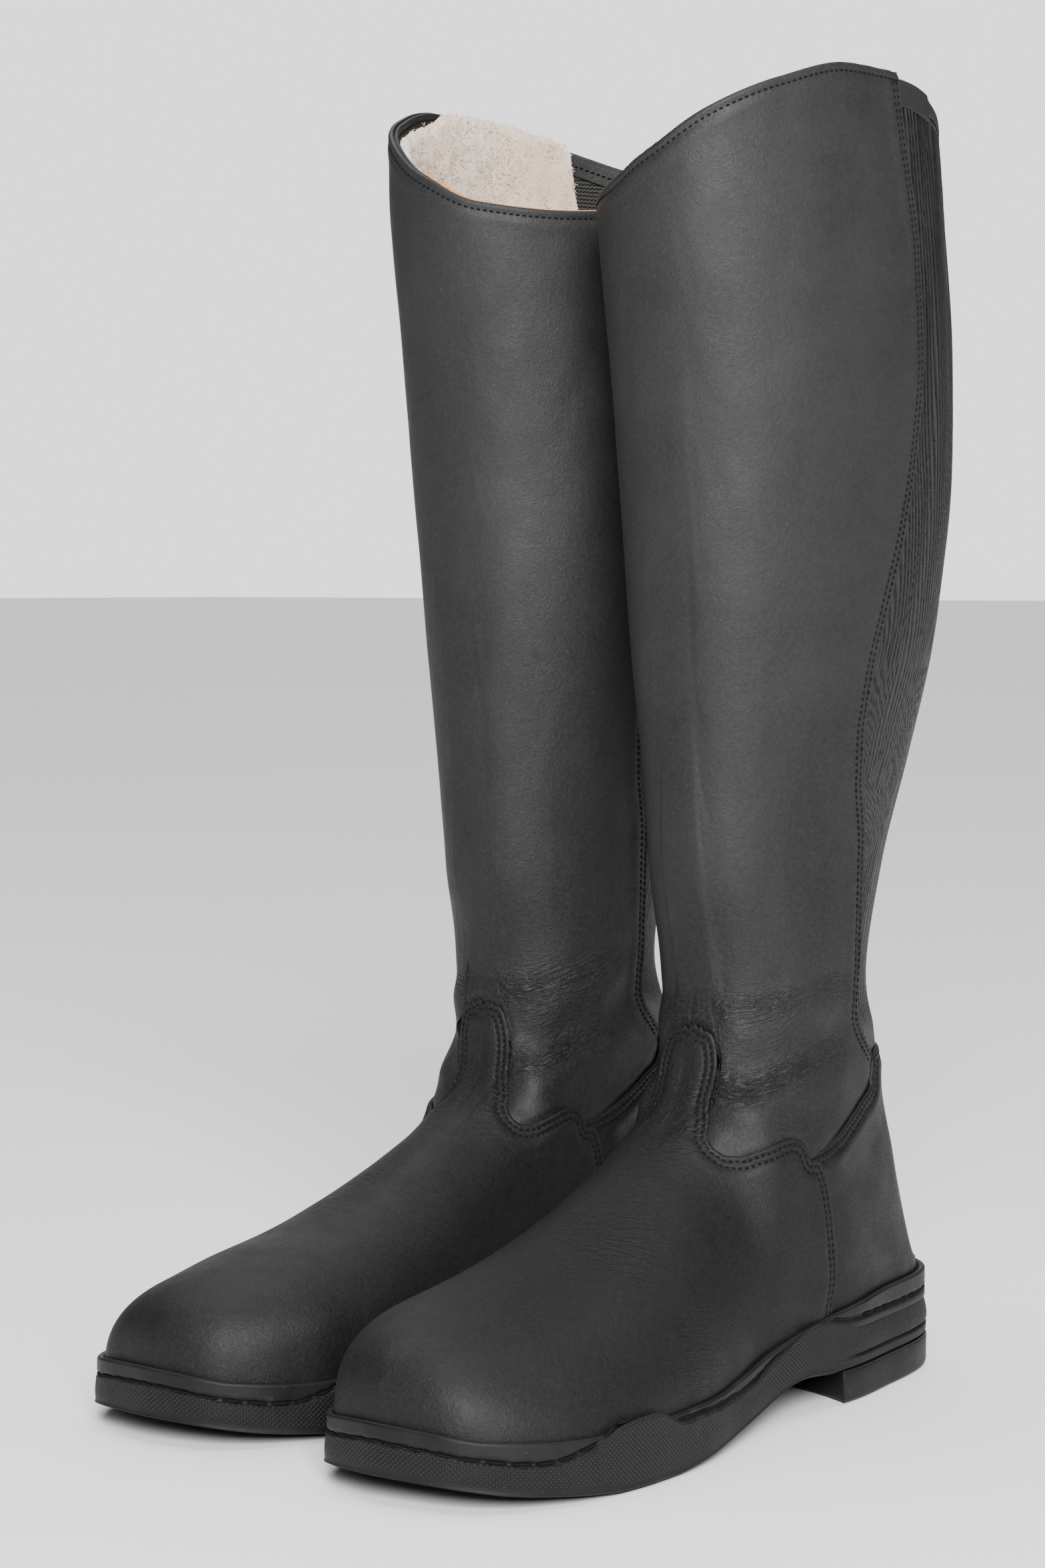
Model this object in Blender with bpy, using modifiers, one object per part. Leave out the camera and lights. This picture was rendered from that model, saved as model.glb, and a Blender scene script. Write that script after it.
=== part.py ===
"""A pair of tall, fleece-lined leather riding boots with a stretch gusset up the back.

The row frame has +Z up and the toes towards -Y. The wearer's left boot stands at +X and the
right boot, its mirror image, at -X. One boot is drawn in its own frame: x to the outer side,
y forward is negative, and y = 0 near the back of the heel. Lengths are in metres.
"""

import math

import bmesh
import bpy
import numpy as np
from mathutils import Vector

# ---------------------------------------------------------------- driving dimensions

HALF_SPACING = 0.0517    # from the plane between the boots to each heel
TOE_OUT = 0.0162         # radians that each boot turns out
STAGGER = 0.010          # how far the right boot stands behind the left one

ANKLE_Y = -0.080         # the line that the leg flexes about
ANKLE_Z = 0.165

FLEX_TOP = 0.190         # the leather that creases at the ankle ends here
GAP = 0.0004             # between neighbours that touch
SEAM_GAP = 0.0008        # between panels that meet edge to edge
SEAM_TURN = 0.0030       # the same, as a fraction of the way round the boot

LEATHER = 0.0016
BACKING_DEPTH = 0.0036   # from the outer face of the leather to the stiffeners
BACKING = 0.0010
LINING_DEPTH = 0.0032    # from the outer face of the leather to the fleece of the leg
FLEECE = 0.0048
FOOT_LINING_DEPTH = 0.0059
FOOT_FLEECE = 0.0036
FACING_HEIGHT = 0.0130
BAND_HEIGHT = 0.0110

BEND_WEIGHT = 0.030      # rows of a panel crowd together where it bends

FEATHER = 0.020          # the height at which the foot is as wide as its footprint
ARCH_RISE = 2.45         # exponents of the arch over the foot
ARCH_SPREAD = 1.90
LEG_SQUARE = 2.10        # exponent of the leg's oval
CREST = 0.006            # how far the crest of the foot stands to the inner side

# Height, front line, back line and half width of the upper.
PROFILE = (
    (0.018, -0.2960, 0.0060, 0.0350),
    (0.034, -0.2950, 0.0030, 0.0340),
    (0.044, -0.2900, -0.0030, 0.0335),
    (0.051, -0.2780, -0.0060, 0.0330),
    (0.057, -0.2540, -0.0085, 0.0325),
    (0.064, -0.2190, -0.0110, 0.0320),
    (0.074, -0.1900, -0.0145, 0.0315),
    (0.084, -0.1690, -0.0170, 0.0315),
    (0.094, -0.1500, -0.0210, 0.0315),
    (0.104, -0.1325, -0.0250, 0.0320),
    (0.114, -0.1275, -0.0280, 0.0325),
    (0.126, -0.1255, -0.0315, 0.0330),
    (0.150, -0.1245, -0.0395, 0.0335),
    (0.190, -0.1325, -0.0285, 0.0350),
    (0.230, -0.1355, -0.0140, 0.0398),
    (0.280, -0.1395, 0.0018, 0.0462),
    (0.330, -0.1435, 0.0078, 0.0495),
    (0.380, -0.1490, 0.0066, 0.0509),
    (0.430, -0.1555, 0.0000, 0.0509),
    (0.485, -0.1575, -0.0070, 0.0490),
)
INSTEP_STATIONS = (0.034, 0.150)   # the part of the front line that is the top of the foot

# Distance forward of the heel, then the outer and the inner half width of the upper's footprint.
FOOTPRINT = (
    (-0.0030, 0.0000, 0.0000),
    (0.003, 0.0135, -0.0135),
    (0.010, 0.0210, -0.0212),
    (0.025, 0.0282, -0.0285),
    (0.055, 0.0340, -0.0330),
    (0.085, 0.0382, -0.0340),
    (0.110, 0.0385, -0.0325),
    (0.128, 0.0392, -0.0318),
    (0.160, 0.0450, -0.0345),
    (0.195, 0.0525, -0.0400),
    (0.225, 0.0545, -0.0440),
    (0.250, 0.0520, -0.0430),
    (0.270, 0.0455, -0.0370),
    (0.283, 0.0370, -0.0290),
    (0.291, 0.0260, -0.0190),
    (0.296, 0.0000, -0.0000),
)

# Distance forward of the heel and height of the sole's lines.
WELT_TOP = ((0.000, 0.0365), (0.045, 0.0365), (0.093, 0.0330), (0.134, 0.0265), (0.180, 0.0205),
            (0.246, 0.0200), (0.286, 0.0225), (0.300, 0.0265))
FOXING_TOP = ((0.000, 0.0285), (0.083, 0.0290), (0.105, 0.0315), (0.128, 0.0245), (0.165, 0.0170),
              (0.205, 0.0170), (0.222, 0.0235), (0.242, 0.0230), (0.258, 0.0145), (0.272, 0.0135),
              (0.290, 0.0165), (0.300, 0.0200))
SOLE_BOTTOM = ((0.000, 0.0118), (0.094, 0.0118), (0.112, 0.0130), (0.123, 0.0120), (0.136, 0.0094),
               (0.166, 0.0046), (0.198, 0.0008), (0.210, 0.0000), (0.238, 0.0000), (0.250, 0.0012),
               (0.262, 0.0025), (0.281, 0.0048), (0.300, 0.0086))
SOLE_OVERHANG = 0.0038   # the sole's outline outside the footprint
FOXING_WALL = 0.0013
WELT_WIDTH = 0.0011
WELT_CLEARANCE = 0.0010  # from the footprint to the welt
FLOOR_DROP = 0.0105      # from the top of the welt to the floor of the sole
LASTING = 0.0055         # from the top of the welt to the lower edge of the upper
LINING_LIFT = 0.0030     # the linings end this far above the leather
HEEL_BREAST = -0.0900    # the front face of the heel, at its corners
BREAST_HOLLOW = 0.0100   # how far the middle of that face is set back
HEEL_HALF_WIDTH = 0.0400
HEEL_TOP = 0.0118

# Fraction of the way round from the back seam, and height, of the leg's top line.
TOP_LINE = ((0.00, 0.4520), (0.08, 0.4600), (0.15, 0.4675), (0.22, 0.4725), (0.29, 0.4735),
            (0.36, 0.4665), (0.43, 0.4555), (0.50, 0.4410), (0.56, 0.4315), (0.64, 0.4285),
            (0.74, 0.4320), (0.84, 0.4405), (0.93, 0.4480), (1.00, 0.4520))

# Height of the gusset's seam and its place along the boot.
GUSSET_SEAM = ((0.122, -0.0560), (0.139, -0.0700), (0.158, -0.0675), (0.198, -0.0685),
               (0.225, -0.0770), (0.260, -0.0780), (0.286, -0.0700), (0.309, -0.0625),
               (0.373, -0.0545), (0.410, -0.0580), (0.454, -0.0690), (0.480, -0.0740))

# Fraction of the way round, and height, of the upper edges of the counter and of the vamp.
COUNTER_EDGE = ((0.000, 0.1240), (0.150, 0.1225), (0.172, 0.1180), (0.184, 0.1100), (0.210, 0.1055),
                (0.241, 0.0985), (0.271, 0.0915), (0.280, 0.0915))
VAMP_EDGE = ((0.270, 0.0915), (0.289, 0.0925), (0.306, 0.0890), (0.325, 0.0862), (0.352, 0.0915),
             (0.395, 0.1000), (0.425, 0.1060), (0.442, 0.1180), (0.452, 0.1300), (0.470, 0.1330),
             (0.500, 0.1340))

# Height and place of the seam where the vamp meets the counter.
QUARTER_SEAM = ((0.015, -0.0933), (0.034, -0.0933), (0.051, -0.0919), (0.077, -0.0937),
                (0.0885, -0.0978), (0.095, -0.1020))

# ---------------------------------------------------------------- smooth curves and the upper's surface


def curve(table, column, at):
    """Monotone cubic through one column of a table whose first column is the key."""
    key = np.array([row[0] for row in table], float)
    value = np.array([row[column] for row in table], float)
    step = np.diff(key)
    slope = np.diff(value) / step
    tangent = np.zeros(len(key))
    rising = slope[:-1] * slope[1:] > 0
    near = 2 * step[1:] + step[:-1]
    far = step[1:] + 2 * step[:-1]
    safe = np.where(rising[:, None], np.stack([slope[:-1], slope[1:]], 1), 1.0)
    tangent[1:-1] = np.where(rising, (near + far) / (near / safe[:, 0] + far / safe[:, 1]), 0.0)
    tangent[0] = slope[0]
    tangent[-1] = slope[-1]
    at = np.clip(np.asarray(at, float), key[0], key[-1])
    i = np.clip(np.searchsorted(key, at, side="right") - 1, 0, len(key) - 2)
    h = step[i]
    t = (at - key[i]) / h
    start = (1 + 2 * t) * (1 - t) ** 2 * value[i] + t * (1 - t) ** 2 * h * tangent[i]
    end = t * t * (3 - 2 * t) * value[i + 1] + t * t * (t - 1) * h * tangent[i + 1]
    return start + end


def smooth(x):
    """0 below 0, 1 above 1, and an even turn between."""
    x = np.clip(x, 0, 1)
    return x * x * (3 - 2 * x)


LOW, HIGH = INSTEP_STATIONS
RIDGE = [(0.0, 0.400), (0.100, 0.215)] + sorted((-row[1], row[0]) for row in PROFILE if LOW <= row[0] <= HIGH)


def arch_height(y, z):
    """0 at the feather line and 1 on the crest of the foot."""
    ridge = curve(RIDGE, 1, -y)
    return np.clip((z - FEATHER) / np.maximum(ridge - FEATHER, 1e-4), 0, 1)


def half_width(y, z, outer):
    """Half width of the upper at a place along it and a height, on its outer or inner side."""
    front, back, wide = (curve(PROFILE, column, z) for column in (1, 2, 3))
    heel_end = -FOOTPRINT[0][0]
    along = y + (heel_end - back) * np.clip((y + 0.09) / (back + 0.09), 0, 1)
    foot = np.abs(curve(FOOTPRINT, 1 if outer else 2, -along))
    foot = foot * (1 - arch_height(y, z) ** ARCH_RISE) ** (1 / ARCH_SPREAD)
    off = np.clip(np.abs(y - (front + back) / 2) / ((back - front) / 2), 0, 1)
    leg = wide * (1 - off ** LEG_SQUARE) ** (1 / LEG_SQUARE)
    rise = smooth((z - 0.055) / 0.105)
    return foot * (1 - rise) + leg * rise


def crest_shift(y, z):
    """How far the foot leans to its inner side."""
    along = np.clip((-y - 0.090) / 0.060, 0, 1) * np.clip((0.300 + y) / 0.045, 0, 1)
    fade = 1 - smooth((z - 0.10) / 0.05)
    return CREST * smooth(along) * smooth(arch_height(y, z) * 1.3) * fade


def upper(s, z):
    """A point of the outer face: s goes once round from the back seam, by the outer side."""
    s, z = np.broadcast_arrays(np.asarray(s, float), np.asarray(z, float))
    front, back = curve(PROFILE, 1, z), curve(PROFILE, 2, z)
    y = back + (front - back) * (1 - np.cos(2 * np.pi * s)) / 2
    x = np.where(s % 1.0 < 0.5, half_width(y, z, True), -half_width(y, z, False))
    return np.stack([x - crest_shift(y, z), y, z], -1)


def round_at(y, z):
    """The fraction of the way round, on the outer side, at a place along the boot."""
    front, back = curve(PROFILE, 1, z), curve(PROFILE, 2, z)
    t = np.clip((y - back) / (front - back), 0, 1)
    return np.arccos(1 - 2 * t) / (2 * np.pi)


def mirrored(s):
    """The same distance round, on the outer side."""
    return np.where(s > 0.5, 1 - s, s)


def gusset_edge(z):
    return round_at(curve(GUSSET_SEAM, 1, z), z)


def quarter_edge(z):
    return round_at(curve(QUARTER_SEAM, 1, z), z)


def top_line(s):
    return curve(TOP_LINE, 1, s % 1.0 if np.isscalar(s) else np.mod(s, 1.0))


def counter_edge(s):
    return curve(COUNTER_EDGE, 1, mirrored(s))


def vamp_edge(s):
    return curve(VAMP_EDGE, 1, mirrored(s))


def ankle_hem(s):
    """The lower edge of the ankle leather, clear of the counter and the vamp."""
    reach = [s - SEAM_TURN, s, s + SEAM_TURN]
    edges = [np.where(mirrored(x) < 0.280, counter_edge(x), vamp_edge(x)) for x in reach]
    return np.max(edges, axis=0) + SEAM_GAP * 1.8


def welt_top(y):
    return curve(WELT_TOP, 1, -y)


def lasting_edge(s):
    """The lower edge of the upper, inside the welt."""
    z = np.full(np.shape(s), 0.026)
    for _ in range(4):
        z = welt_top(upper(s, z)[..., 1]) - LASTING
    return z


def lining_edge(s):
    """The lower edge of what lies inside the leather, clear of the insole board."""
    return lasting_edge(s) + LINING_LIFT


# ---------------------------------------------------------------- grids and solids


def patch(turn, lower, upper_edge, rows):
    """Ways round and heights of a panel's points. Each column is turn(z), between two edges."""
    ways = []
    for place in turn:
        low, high = 0.10, 0.30
        for _ in range(6):
            low = float(lower(place(low)))
            high = float(upper_edge(place(high)))
        z = np.linspace(low, high, 120)
        s = np.array([float(place(height)) for height in z])
        step = np.diff(upper(s, z), axis=0)
        length = np.linalg.norm(step, axis=1)
        bend = np.linalg.norm(np.diff(step / length[:, None], axis=0), axis=1)
        run = np.concatenate([[0], np.cumsum(length + BEND_WEIGHT * np.concatenate([[0], bend]))])
        even = np.linspace(0, run[-1], rows + 1)
        ways.append(np.stack([np.interp(even, run, s), np.interp(even, run, z)], -1))
    return np.stack(ways, 1)


def sunk(ways, depth):
    """Points of the upper under the given ways, moved in from its outer face by depth."""
    s, z = ways[..., 0], ways[..., 1]
    round_ = upper(s + 1e-3, z) - upper(s - 1e-3, z)
    on_crest = np.linalg.norm(round_, axis=-1, keepdims=True) < 1e-9
    round_ = np.where(on_crest, (-1.0, 0.0, 0.0), round_)
    rising = upper(s, z + 5e-4) - upper(s, z - 5e-4)
    outward = np.cross(rising, round_)
    return upper(s, z) - depth * outward / np.linalg.norm(outward, axis=-1, keepdims=True)


class Boot:
    """One boot: its frames, and the pieces added to them."""

    def __init__(self, name, side, behind, collection, cutters):
        self.name = name
        self.side = side
        self.collection = collection
        self.cutters = cutters
        self.foot = self.empty("foot_frame", (side * HALF_SPACING, behind, 0.0))
        self.foot.rotation_euler = (0, 0, side * TOE_OUT)
        self.leg = self.empty("leg_frame", (0.0, ANKLE_Y, ANKLE_Z))
        self.leg.parent = self.foot

    def empty(self, name, place):
        made = bpy.data.objects.new(f"{self.name}_{name}", None)
        made.location = place
        made.empty_display_size = 0.03
        self.collection.objects.link(made)
        return made

    def add(self, name, points, faces, material, on_leg=False):
        """A mesh object from points in the boot's frame, with faces that face out."""
        origin = np.array([0.0, ANKLE_Y, ANKLE_Z]) if on_leg else np.zeros(3)
        mesh = bpy.data.meshes.new(f"{self.name}_{name}")
        placed = (np.asarray(points, float) - origin) * np.array([self.side, 1, 1])
        if self.side < 0:
            faces = [face[::-1] for face in faces]
        mesh.from_pydata([Vector(point) for point in placed], [], faces)
        mesh.materials.append(material)
        mesh.shade_smooth()
        mesh.set_sharp_from_angle(angle=math.radians(40))
        made = bpy.data.objects.new(f"{self.name}_{name}", mesh)
        made.parent = self.leg if on_leg else self.foot
        self.collection.objects.link(made)
        return made

    def shell(self, name, ways, depth, thickness, material, on_leg=False, closed=False):
        """A panel of one thickness, set in from the outer face by depth."""
        rows, columns = ways.shape[:2]
        points = sunk(ways, depth).reshape(-1, 3)
        faces = []
        for row in range(rows - 1):
            for column in range(columns if closed else columns - 1):
                beside = (column + 1) % columns
                a, b = row * columns + column, row * columns + beside
                faces.append((a, a + columns, b + columns, b))
        made = self.add(name, points, faces, material, on_leg)
        wall = made.modifiers.new("thickness", "SOLIDIFY")
        wall.thickness = thickness
        wall.offset = -1.0
        wall.use_rim = True
        return made

    def loft(self, name, rings, material):
        """A solid through rings that each hold the outer points, then the inner points back."""
        count = len(rings[0])
        half = count // 2
        points = np.concatenate(rings)
        faces = []
        for ring in range(len(rings) - 1):
            for i in range(count):
                a, b = ring * count + i, ring * count + (i + 1) % count
                faces.append((a, b, b + count, a + count))
        last = (len(rings) - 1) * count
        for i in range(half - 1):
            j = count - 1 - i
            faces.append((i, j, j - 1, i + 1))
            faces.append((last + i, last + i + 1, last + j - 1, last + j))
        return self.add(name, points, [face[::-1] for face in faces], material)


# ---------------------------------------------------------------- materials


def material(name, colour, roughness, metallic=0.0):
    made = bpy.data.materials.new(name)
    made.use_nodes = True
    shader = made.node_tree.nodes["Principled BSDF"]
    shader.inputs["Base Color"].default_value = (*colour, 1.0)
    shader.inputs["Roughness"].default_value = roughness
    shader.inputs["Metallic"].default_value = metallic
    return made


def make_materials():
    return {
        "leg": material("leg_leather", (0.055, 0.055, 0.058), 0.45),
        "vamp": material("vamp_leather", (0.028, 0.028, 0.030), 0.42),
        "counter": material("counter_leather", (0.020, 0.020, 0.021), 0.50),
        "stretch": material("stretch_leather", (0.022, 0.022, 0.024), 0.38),
        "elastic": material("woven_elastic", (0.012, 0.012, 0.012), 0.85),
        "fleece": material("fleece", (0.62, 0.53, 0.43), 0.95),
        "rubber": material("sole_rubber", (0.022, 0.022, 0.023), 0.62),
        "welt": material("welt_rubber", (0.026, 0.026, 0.027), 0.50),
        "board": material("fibre_board", (0.33, 0.24, 0.15), 0.90),
        "steel": material("spring_steel", (0.55, 0.55, 0.56), 0.35, 1.0),
    }


# ---------------------------------------------------------------- the upper


def columns_between(start, end, count):
    """Columns spread evenly between two edges that are functions of height."""
    shares = np.linspace(0, 1, count + 1)
    return [lambda z, share=share: start(z) + (end(z) - start(z)) * share for share in shares]


def fixed_columns(places):
    return [lambda z, place=place: place for place in places]


def flipped(turn):
    """The same columns on the inner side, in the order that closes a panel over the front."""
    return [lambda z, place=place: 1 - place(z) for place in turn[-2::-1]]


COUNTER_PLACES = (0.0, 0.045, 0.09, 0.130, 0.155, 0.168, 0.176, 0.184, 0.197, 0.215, 0.235, 0.255, 0.272)
QUARTER_PLACES = (0.178, 0.186, 0.197, 0.215, 0.235, 0.255, 0.272)
VAMP_PLACES = (0.289, 0.307, 0.330, 0.360, 0.395, 0.425, 0.442, 0.456, 0.470, 0.485, 0.500)
PUFF_PLACES = VAMP_PLACES[-7:]
HEEL_PLACES = (0.0, 0.028, 0.056, 0.090, 0.130, 0.165)
WING_SHARES = (0.0, 0.22, 0.44, 0.66, 0.86)
QUARTER_TOP = 0.0915     # the top of the seam between vamp and counter
GUSSET_FOOT = 0.1220     # the lowest point of the gusset's seam
GUSSET_COLUMNS = 8
PANEL_COLUMNS = 16
LEG_ROWS = 7
ANKLE_ROWS = 5
LINING_SEAM = 0.0034     # between the fleece of the foot and the fleece of the ankle


def vamp_turn():
    """The outer half of the vamp's columns, from the quarter seam to the front."""
    def wing(share):
        return lambda z: quarter_edge(z) * (1 - share) + VAMP_PLACES[0] * share
    return [wing(share) for share in WING_SHARES] + fixed_columns(VAMP_PLACES)


def add_vamp(boot, look):
    """The foot's front piece: its wings, and the tab that runs up over the instep."""
    half = vamp_turn()
    ways = patch(half + flipped(half), lasting_edge, vamp_edge, 11)
    boot.shell("vamp", ways, 0.0, LEATHER, look["vamp"])


def add_counter(boot, look):
    """The leather over the heel, from one quarter seam to the other."""
    def column(place, sign):
        def way(z):
            share = quarter_edge(min(z, QUARTER_TOP)) / quarter_edge(QUARTER_TOP)
            return (sign * place * share) % 1.0
        return way
    turn = [column(place, -1) for place in COUNTER_PLACES[:0:-1]]
    turn += [column(place, 1) for place in COUNTER_PLACES]
    ways = patch(turn, lasting_edge, counter_edge, 5)
    boot.shell("heel_counter", ways, 0.0, LEATHER, look["counter"])


def leg_turn():
    """Columns of the leg leather, from the gusset's outer seam round to its inner one."""
    def start(z):
        return gusset_edge(z) + SEAM_TURN * 1.3
    return columns_between(start, lambda z: 1 - start(z), PANEL_COLUMNS)


def gusset_turn():
    """Columns of the gusset, from its inner seam across the back to its outer one."""
    shares = np.linspace(-1, 1, GUSSET_COLUMNS + 1)
    return [lambda z, share=share: (share * gusset_edge(max(z, GUSSET_FOOT))) % 1.0 for share in shares]


def ankle_turn():
    """The outer half of the ankle leather's columns, from the gusset's seam to the front."""
    base = float(gusset_edge(GUSSET_FOOT))
    first = VAMP_PLACES[0]

    def quarter(place):
        share = (first - place) / (first - base)
        return lambda z: first - share * (first - gusset_edge(max(z, GUSSET_FOOT)))
    return [quarter(place) for place in QUARTER_PLACES] + fixed_columns(VAMP_PLACES)


def whole_turn():
    """Columns all the way round: the outer half of the gusset, the ankle leather, the inner half."""
    back = gusset_turn()
    half = ankle_turn()
    middle = GUSSET_COLUMNS // 2
    return back[middle:] + half[1:] + flipped(half[1:]) + back[:middle]


def level(height):
    return lambda s: height


def add_ankle(boot, look):
    """The leather between foot and leg, which creases when the ankle bends."""
    half = ankle_turn()
    top = level(FLEX_TOP - SEAM_GAP)
    ways = patch(half + flipped(half), ankle_hem, top, ANKLE_ROWS)
    boot.shell("ankle_panel", ways, 0.0, LEATHER, look["leg"])
    ways = patch(gusset_turn(), ankle_hem, top, ANKLE_ROWS)
    boot.shell("ankle_gusset", ways, 0.0, LEATHER, look["stretch"])


def add_leg(boot, look):
    """Leg leather, gusset, elastic, top band and facing, all above the ankle."""
    base = level(FLEX_TOP + SEAM_GAP)
    ways = patch(leg_turn(), base, top_line, LEG_ROWS)
    boot.shell("leg_panel", ways, 0.0, LEATHER, look["leg"], True)
    ways = patch(gusset_turn(), base, lambda s: top_line(s) - BAND_HEIGHT - SEAM_GAP, LEG_ROWS)
    boot.shell("stretch_gusset", ways, 0.0, LEATHER, look["stretch"], True)
    boot.shell("gusset_elastic", ways, LINING_DEPTH, BACKING, look["elastic"], True)
    ways = patch(gusset_turn(), lambda s: top_line(s) - BAND_HEIGHT, top_line, 1)
    boot.shell("gusset_top_band", ways, 0.0, LEATHER, look["leg"], True)
    ways = patch(leg_turn(), lambda s: top_line(s) - FACING_HEIGHT, lambda s: top_line(s) - GAP, 1)
    boot.shell("top_facing", ways, LINING_DEPTH, BACKING, look["vamp"], True)
    ways = patch(leg_turn(), base, lambda s: top_line(s) - FACING_HEIGHT - SEAM_GAP, LEG_ROWS)
    boot.shell("leg_lining", ways, LINING_DEPTH, FLEECE, look["fleece"], True)


def add_foot_linings(boot, look):
    """The fleece sock of the foot and the fleece ring of the ankle above it."""
    half = fixed_columns(HEEL_PLACES) + vamp_turn()
    middle = 0.112
    ways = patch(half + flipped(half)[:-1], lining_edge, level(middle), 9)
    boot.shell("foot_lining", ways, FOOT_LINING_DEPTH, FOOT_FLEECE, look["fleece"], closed=True)
    ways = patch(whole_turn(), level(middle + LINING_SEAM), level(FLEX_TOP - SEAM_GAP), ANKLE_ROWS)
    boot.shell("ankle_lining", ways, LINING_DEPTH, FLEECE, look["fleece"], closed=True)


def add_stiffeners(boot, look):
    """The toe puff and the heel stiffener, between leather and fleece."""
    half = fixed_columns(PUFF_PLACES)
    ways = patch(half + flipped(half), lining_edge, level(0.0555), 6)
    boot.shell("toe_puff", ways, BACKING_DEPTH, BACKING, look["board"])
    half = fixed_columns(HEEL_PLACES)
    turn = [lambda z, place=place: -place % 1.0 for place in HEEL_PLACES[:0:-1]] + half
    ways = patch(turn, lining_edge, level(0.088), 5)
    boot.shell("heel_stiffener", ways, BACKING_DEPTH, BACKING, look["board"])


# ---------------------------------------------------------------- the sole

SOLE_STATIONS = 30
POINT = 0.0008            # half the width that an outline keeps at its ends


def offset_side(outer, grown):
    """One side of the footprint moved out by a width: how far along, and how far across."""
    ends = FOOTPRINT[0][0], FOOTPRINT[-1][0]
    along = ends[0] + (ends[1] - ends[0]) * (1 - np.cos(np.linspace(0, np.pi, 400))) / 2
    across = np.abs(curve(FOOTPRINT, 1 if outer else 2, along))
    step = np.stack([np.gradient(along), np.gradient(across)], -1)
    step /= np.linalg.norm(step, axis=1, keepdims=True)
    step[0] = (0, 1)
    step[-1] = (0, -1)
    along = along - grown * step[:, 1]
    across = across + grown * step[:, 0]
    keep = (across >= 0) & (np.gradient(along) > 0)
    return along[keep], across[keep]


def outline(grown, heights, start=None, end=None, count=SOLE_STATIONS):
    """A ring round the footprint, grown by a width: the outer side, then the inner side back."""
    sides = [offset_side(True, grown), offset_side(False, grown)]
    heel = max(along[0] for along, _ in sides) if start is None else start
    toe = min(along[-1] for along, _ in sides) if end is None else end
    turn = np.linspace(0 if start is None else 0.5, 1 if end is None else 0.5, count) * np.pi
    ways = (np.cos(turn[0]) - np.cos(turn)) / (np.cos(turn[0]) - np.cos(turn[-1]))
    along = heel + (toe - heel) * ways
    outer, inner = (np.maximum(np.interp(along, *side), POINT) for side in sides)
    z = heights(-along)
    lateral = np.stack([outer, -along, z], -1)
    medial = np.stack([-inner, -along, z], -1)
    return np.concatenate([lateral, medial[::-1]])


def table(rows, shift=0.0):
    return lambda y: curve(rows, 1, -y) + shift


def floor(shift=0.0):
    """The height of the sole's floor inside its rim, moved up by shift."""
    return lambda y: welt_top(y) - FLOOR_DROP + shift


def add_outsole(boot, look):
    """The moulded cup: tread, foxing wall and floor."""
    rim = SOLE_OVERHANG - FOXING_WALL
    rings = [
        outline(SOLE_OVERHANG - 0.0015, table(SOLE_BOTTOM)),
        outline(SOLE_OVERHANG, table(SOLE_BOTTOM, 0.0015)),
        outline(SOLE_OVERHANG, table(FOXING_TOP)),
        outline(rim, table(FOXING_TOP)),
        outline(rim, floor()),
    ]
    boot.loft("outsole", rings, look["rubber"])


def add_heel(boot, look):
    """The heel block under the sole. A round cutter hollows its front face."""
    end = -HEEL_BREAST
    bottom = outline(SOLE_OVERHANG - 0.0010, lambda y: np.zeros_like(y), end=end, count=12)
    lower = outline(SOLE_OVERHANG - 0.0002, lambda y: np.full_like(y, 0.0010), end=end, count=12)
    higher = outline(SOLE_OVERHANG, lambda y: np.full_like(y, HEEL_TOP - GAP), end=end, count=12)
    block = boot.loft("heel_block", [bottom, lower, higher], look["rubber"])
    radius = (HEEL_HALF_WIDTH ** 2 + BREAST_HOLLOW ** 2) / (2 * BREAST_HOLLOW)
    mesh = bpy.data.meshes.new("breast_cutter")
    shape = bmesh.new()
    bmesh.ops.create_cone(shape, cap_ends=True, segments=64, radius1=radius, radius2=radius,
                          depth=4 * HEEL_TOP)
    shape.to_mesh(mesh)
    shape.free()
    cutter = bpy.data.objects.new(f"{boot.name}_breast_cutter", mesh)
    cutter.location = (0.0, HEEL_BREAST + BREAST_HOLLOW - radius, HEEL_TOP / 2)
    cutter.parent = boot.foot
    cutter.hide_render = True
    cutter.display_type = "WIRE"
    boot.cutters.objects.link(cutter)
    hollow = block.modifiers.new("hollow_front", "BOOLEAN")
    hollow.operation = "DIFFERENCE"
    hollow.solver = "EXACT"
    hollow.object = cutter


def add_welt(boot, look):
    """The smooth strip round the base of the upper, tucked inside the foxing."""
    inner, outer = WELT_CLEARANCE, WELT_CLEARANCE + WELT_WIDTH
    rings = [
        outline(inner, floor(GAP)),
        outline(outer, floor(GAP)),
        outline(outer, lambda y: welt_top(y) - 0.0006),
        outline(inner, lambda y: welt_top(y)),
    ]
    count = len(rings[0])
    points = np.concatenate(rings)
    faces = []
    for ring in range(4):
        for i in range(count):
            a, b = ring * count + i, ring * count + (i + 1) % count
            c, d = (ring + 1) % 4 * count + (i + 1) % count, (ring + 1) % 4 * count + i
            faces.append((d, c, b, a))
    boot.add("welt_strip", points, faces, look["welt"])


def add_slab(boot, name, inset, low, high, look, start=None, end=None, count=14):
    """A flat piece that follows the sole's floor."""
    rings = [outline(-inset, floor(low), start, end, count), outline(-inset, floor(high), start, end, count)]
    boot.loft(name, rings, look)


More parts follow.
